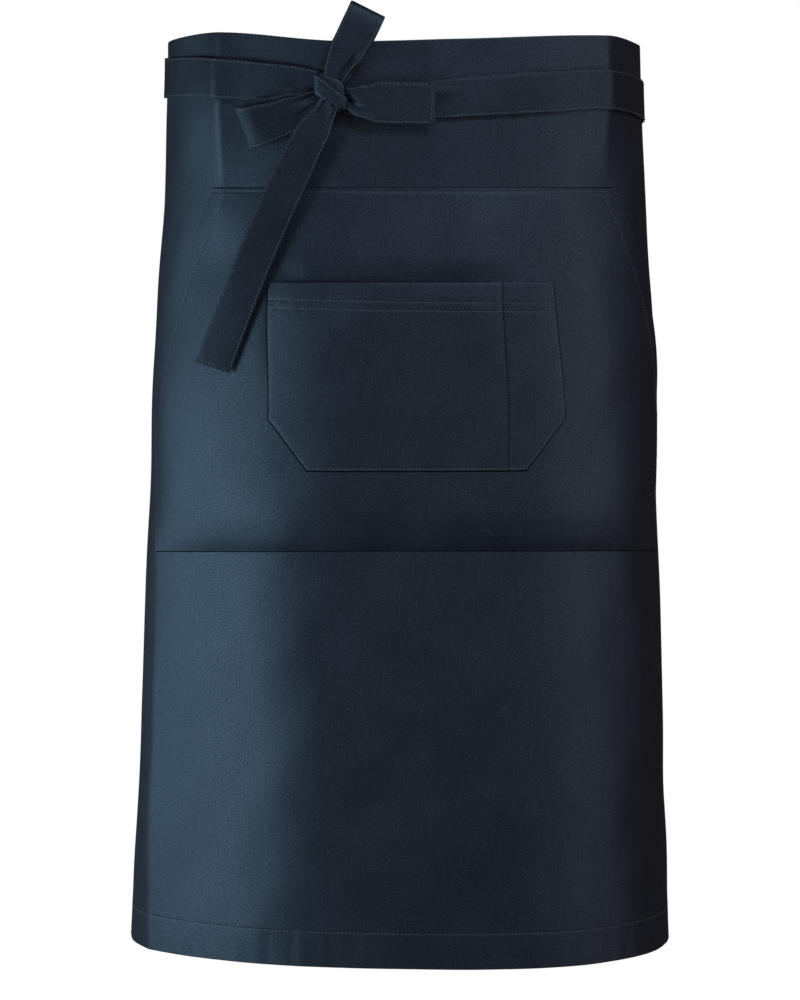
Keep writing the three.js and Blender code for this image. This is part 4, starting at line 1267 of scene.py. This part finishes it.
def makeKnot():
    parts = []
    rows = []
    for band in knotBands:
        height = ((band["highLeft"] + band["highRight"]) / 2 - band["low"]) * bow["knotHeight"]
        near = np.array([0, 0.1, 0.3, 0.6, 1.0, 1.5, 2.1, 2.8]) * mm
        across = stops(height, 0.8 * mm, near, near)
        share = (across / height * 2 - 1)[None, :]
        ends = [0, 0.01, 0.03, 0.06], [6.22, 6.25, 6.27, 6.2832]
        turns = -np.concatenate([ends[0], np.linspace(0.1, 6.18, 150), ends[1]])
        turns = (turns - math.pi / 2)[:, None]
        share, turn = np.broadcast_arrays(share, turns)
        fromSide = (1 - np.abs(share)) * height / 2
        fromEnd = np.minimum(turn[0, 0] - turn, turn - turn[-1, 0]) * knot["endRadius"]
        fromEdge = np.minimum(fromSide, fromEnd)
        cloth, mapTurn = knot["cloth"], turn * knot["mapRadius"]
        body = roundedShare(fromEdge, cloth) * cloth / 2
        fromUpper = (1 - share) * height / 2
        dip = 0.5 * band["row"] * seamDip(fromUpper - tieEdgeRow, mapTurn)
        dip = dip * roundedShare(fromEdge, 2 * mm)
        outer = knotSurface(band, turn, share, body + np.minimum(dip, 0.1 * mm))
        inner = knotSurface(band, turn, share, -body)
        clothMap = np.stack([across[None, :] + 0 * turn, mapTurn], axis=-1) + knot["mapAt"]
        part = sheetObject("knot_cloth", outer, inner, clothMap, wornEdgeAndPaintedHighlight(fromEdge), tieTwill)
        parts.append(part)
        line = np.linspace(-0.3, -2 * math.pi + 0.3, 90) - math.pi / 2
        if band["row"]:
            inset = np.full(90, 1 - tieEdgeRow / (height / 2))
            base = cloth / 2 - 0.7 * groove["depth"]
            rows.append(stitchRow(lambda lift: knotSurface(band, line, inset, base + lift)))
    with bpy.context.temp_override(
        active_object=parts[0], selected_editable_objects=parts, selected_objects=parts
    ):
        bpy.ops.object.join()
    return parts[0], stitchObject("knot_stitches", rows, seamThread)


knotCloth, knotStitches = makeKnot()
print("stage: knot made")

# Hangs a piece's cloth and stitches on the root body and hides the frame's solid for it.
def declare(node, cloth, stitches):
    for obj in (cloth, stitches):
        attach(obj, "root")
    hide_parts(node)


declare("skirt_panel", skirt, skirtStitches)
declare(
    "hand_pocket", handPocketCloth, handPocketStitches
)
declare(
    "order_pocket", orderPocketCloth, orderPocketStitches
)
declare("knot", knotCloth, knotStitches)
for piece in strips.values():
    declare(piece["node"], piece["cloth"], piece["stitches"])

# light
scene = bpy.context.scene
scene.view_settings.view_transform = "Standard"


# White to the camera, a dim even light to the cloth.
def makeWorld():
    world = bpy.data.worlds.new("studio")
    scene.world = world
    world.use_nodes = True
    tree = world.node_tree
    tree.nodes.clear()
    seen = addNode(tree, "ShaderNodeBackground", inputs={"Color": (1, 1, 1, 1), "Strength": 1.0})
    cast = addNode(tree, "ShaderNodeBackground", inputs={"Color": (1, 0.55, 0.42, 1), "Strength": 0.05})
    path = addNode(tree, "ShaderNodeLightPath")
    links = {0: path.outputs["Is Camera Ray"], 1: cast.outputs[0], 2: seen.outputs[0]}
    both = addNode(tree, "ShaderNodeMixShader", links=links)
    output = addNode(tree, "ShaderNodeOutputWorld")
    tree.links.new(both.outputs[0], output.inputs[0])


# Azimuth in degrees round the object: 0 is in front, -90 is at its left.
def softbox(name, azimuth, distance, height, size, power, color, aimHeight):
    data = bpy.data.lights.new(name, "AREA")
    data.shape = "RECTANGLE"
    data.size, data.size_y = size
    data.energy = power
    data.color = color
    obj = bpy.data.objects.new(name, data)
    scene.collection.objects.link(obj)
    turn = math.radians(azimuth)
    obj.location = (math.sin(turn) * distance, -math.cos(turn) * distance, height)
    drop = math.atan2(aimHeight - height, distance)
    obj.rotation_euler = (math.radians(90) + drop, 0, turn)
    obj.visible_camera = False


makeWorld()
softboxes = [  # name, azimuth, distance, height, size, power, colour, height it is aimed at
    ("key softbox", -75, 1.6, -0.45, (1.1, 0.62), 5.2, (0.64, 0.92, 1), -0.33),
    ("grazing softbox", -100, 1.5, -0.45, (0.9, 0.62), 2, (0.54, 0.89, 1), -0.33),
    ("left softbox", -50, 1.8, -0.52, (0.6, 0.6), 6.2, (0.7, 0.97, 1), -0.42),
    ("upper softbox", 22, 1.9, 1.3, (0.5, 0.5), 10.5, (0.76, 0.95, 1), -0.1),
    ("front softbox", 8, 2.6, 0.2, (1.6, 1.6), 2.2, (1, 0.84, 0.8), -0.33),
    ("right softbox", 60, 2.4, -0.1, (0.9, 1.8), 6.6, (1, 0.98, 0.94), -0.33),
    ("rear softbox", 180, 2.4, 0.3, (1.0, 1.8), 40, (1, 1, 1), -0.33),
]
for row in softboxes:
    softbox(*row)

camera = bpy.data.objects.new("camera", bpy.data.cameras.new("camera"))
scene.collection.objects.link(camera)
camera.data.lens = 178.99
camera.data.sensor_width = 36
camera.location = (-0.0032, -4.125, -0.0477)
camera.rotation_euler = (math.radians(90 - 4.03), 0, 0)
scene.camera = camera
print("stage: light and camera made")
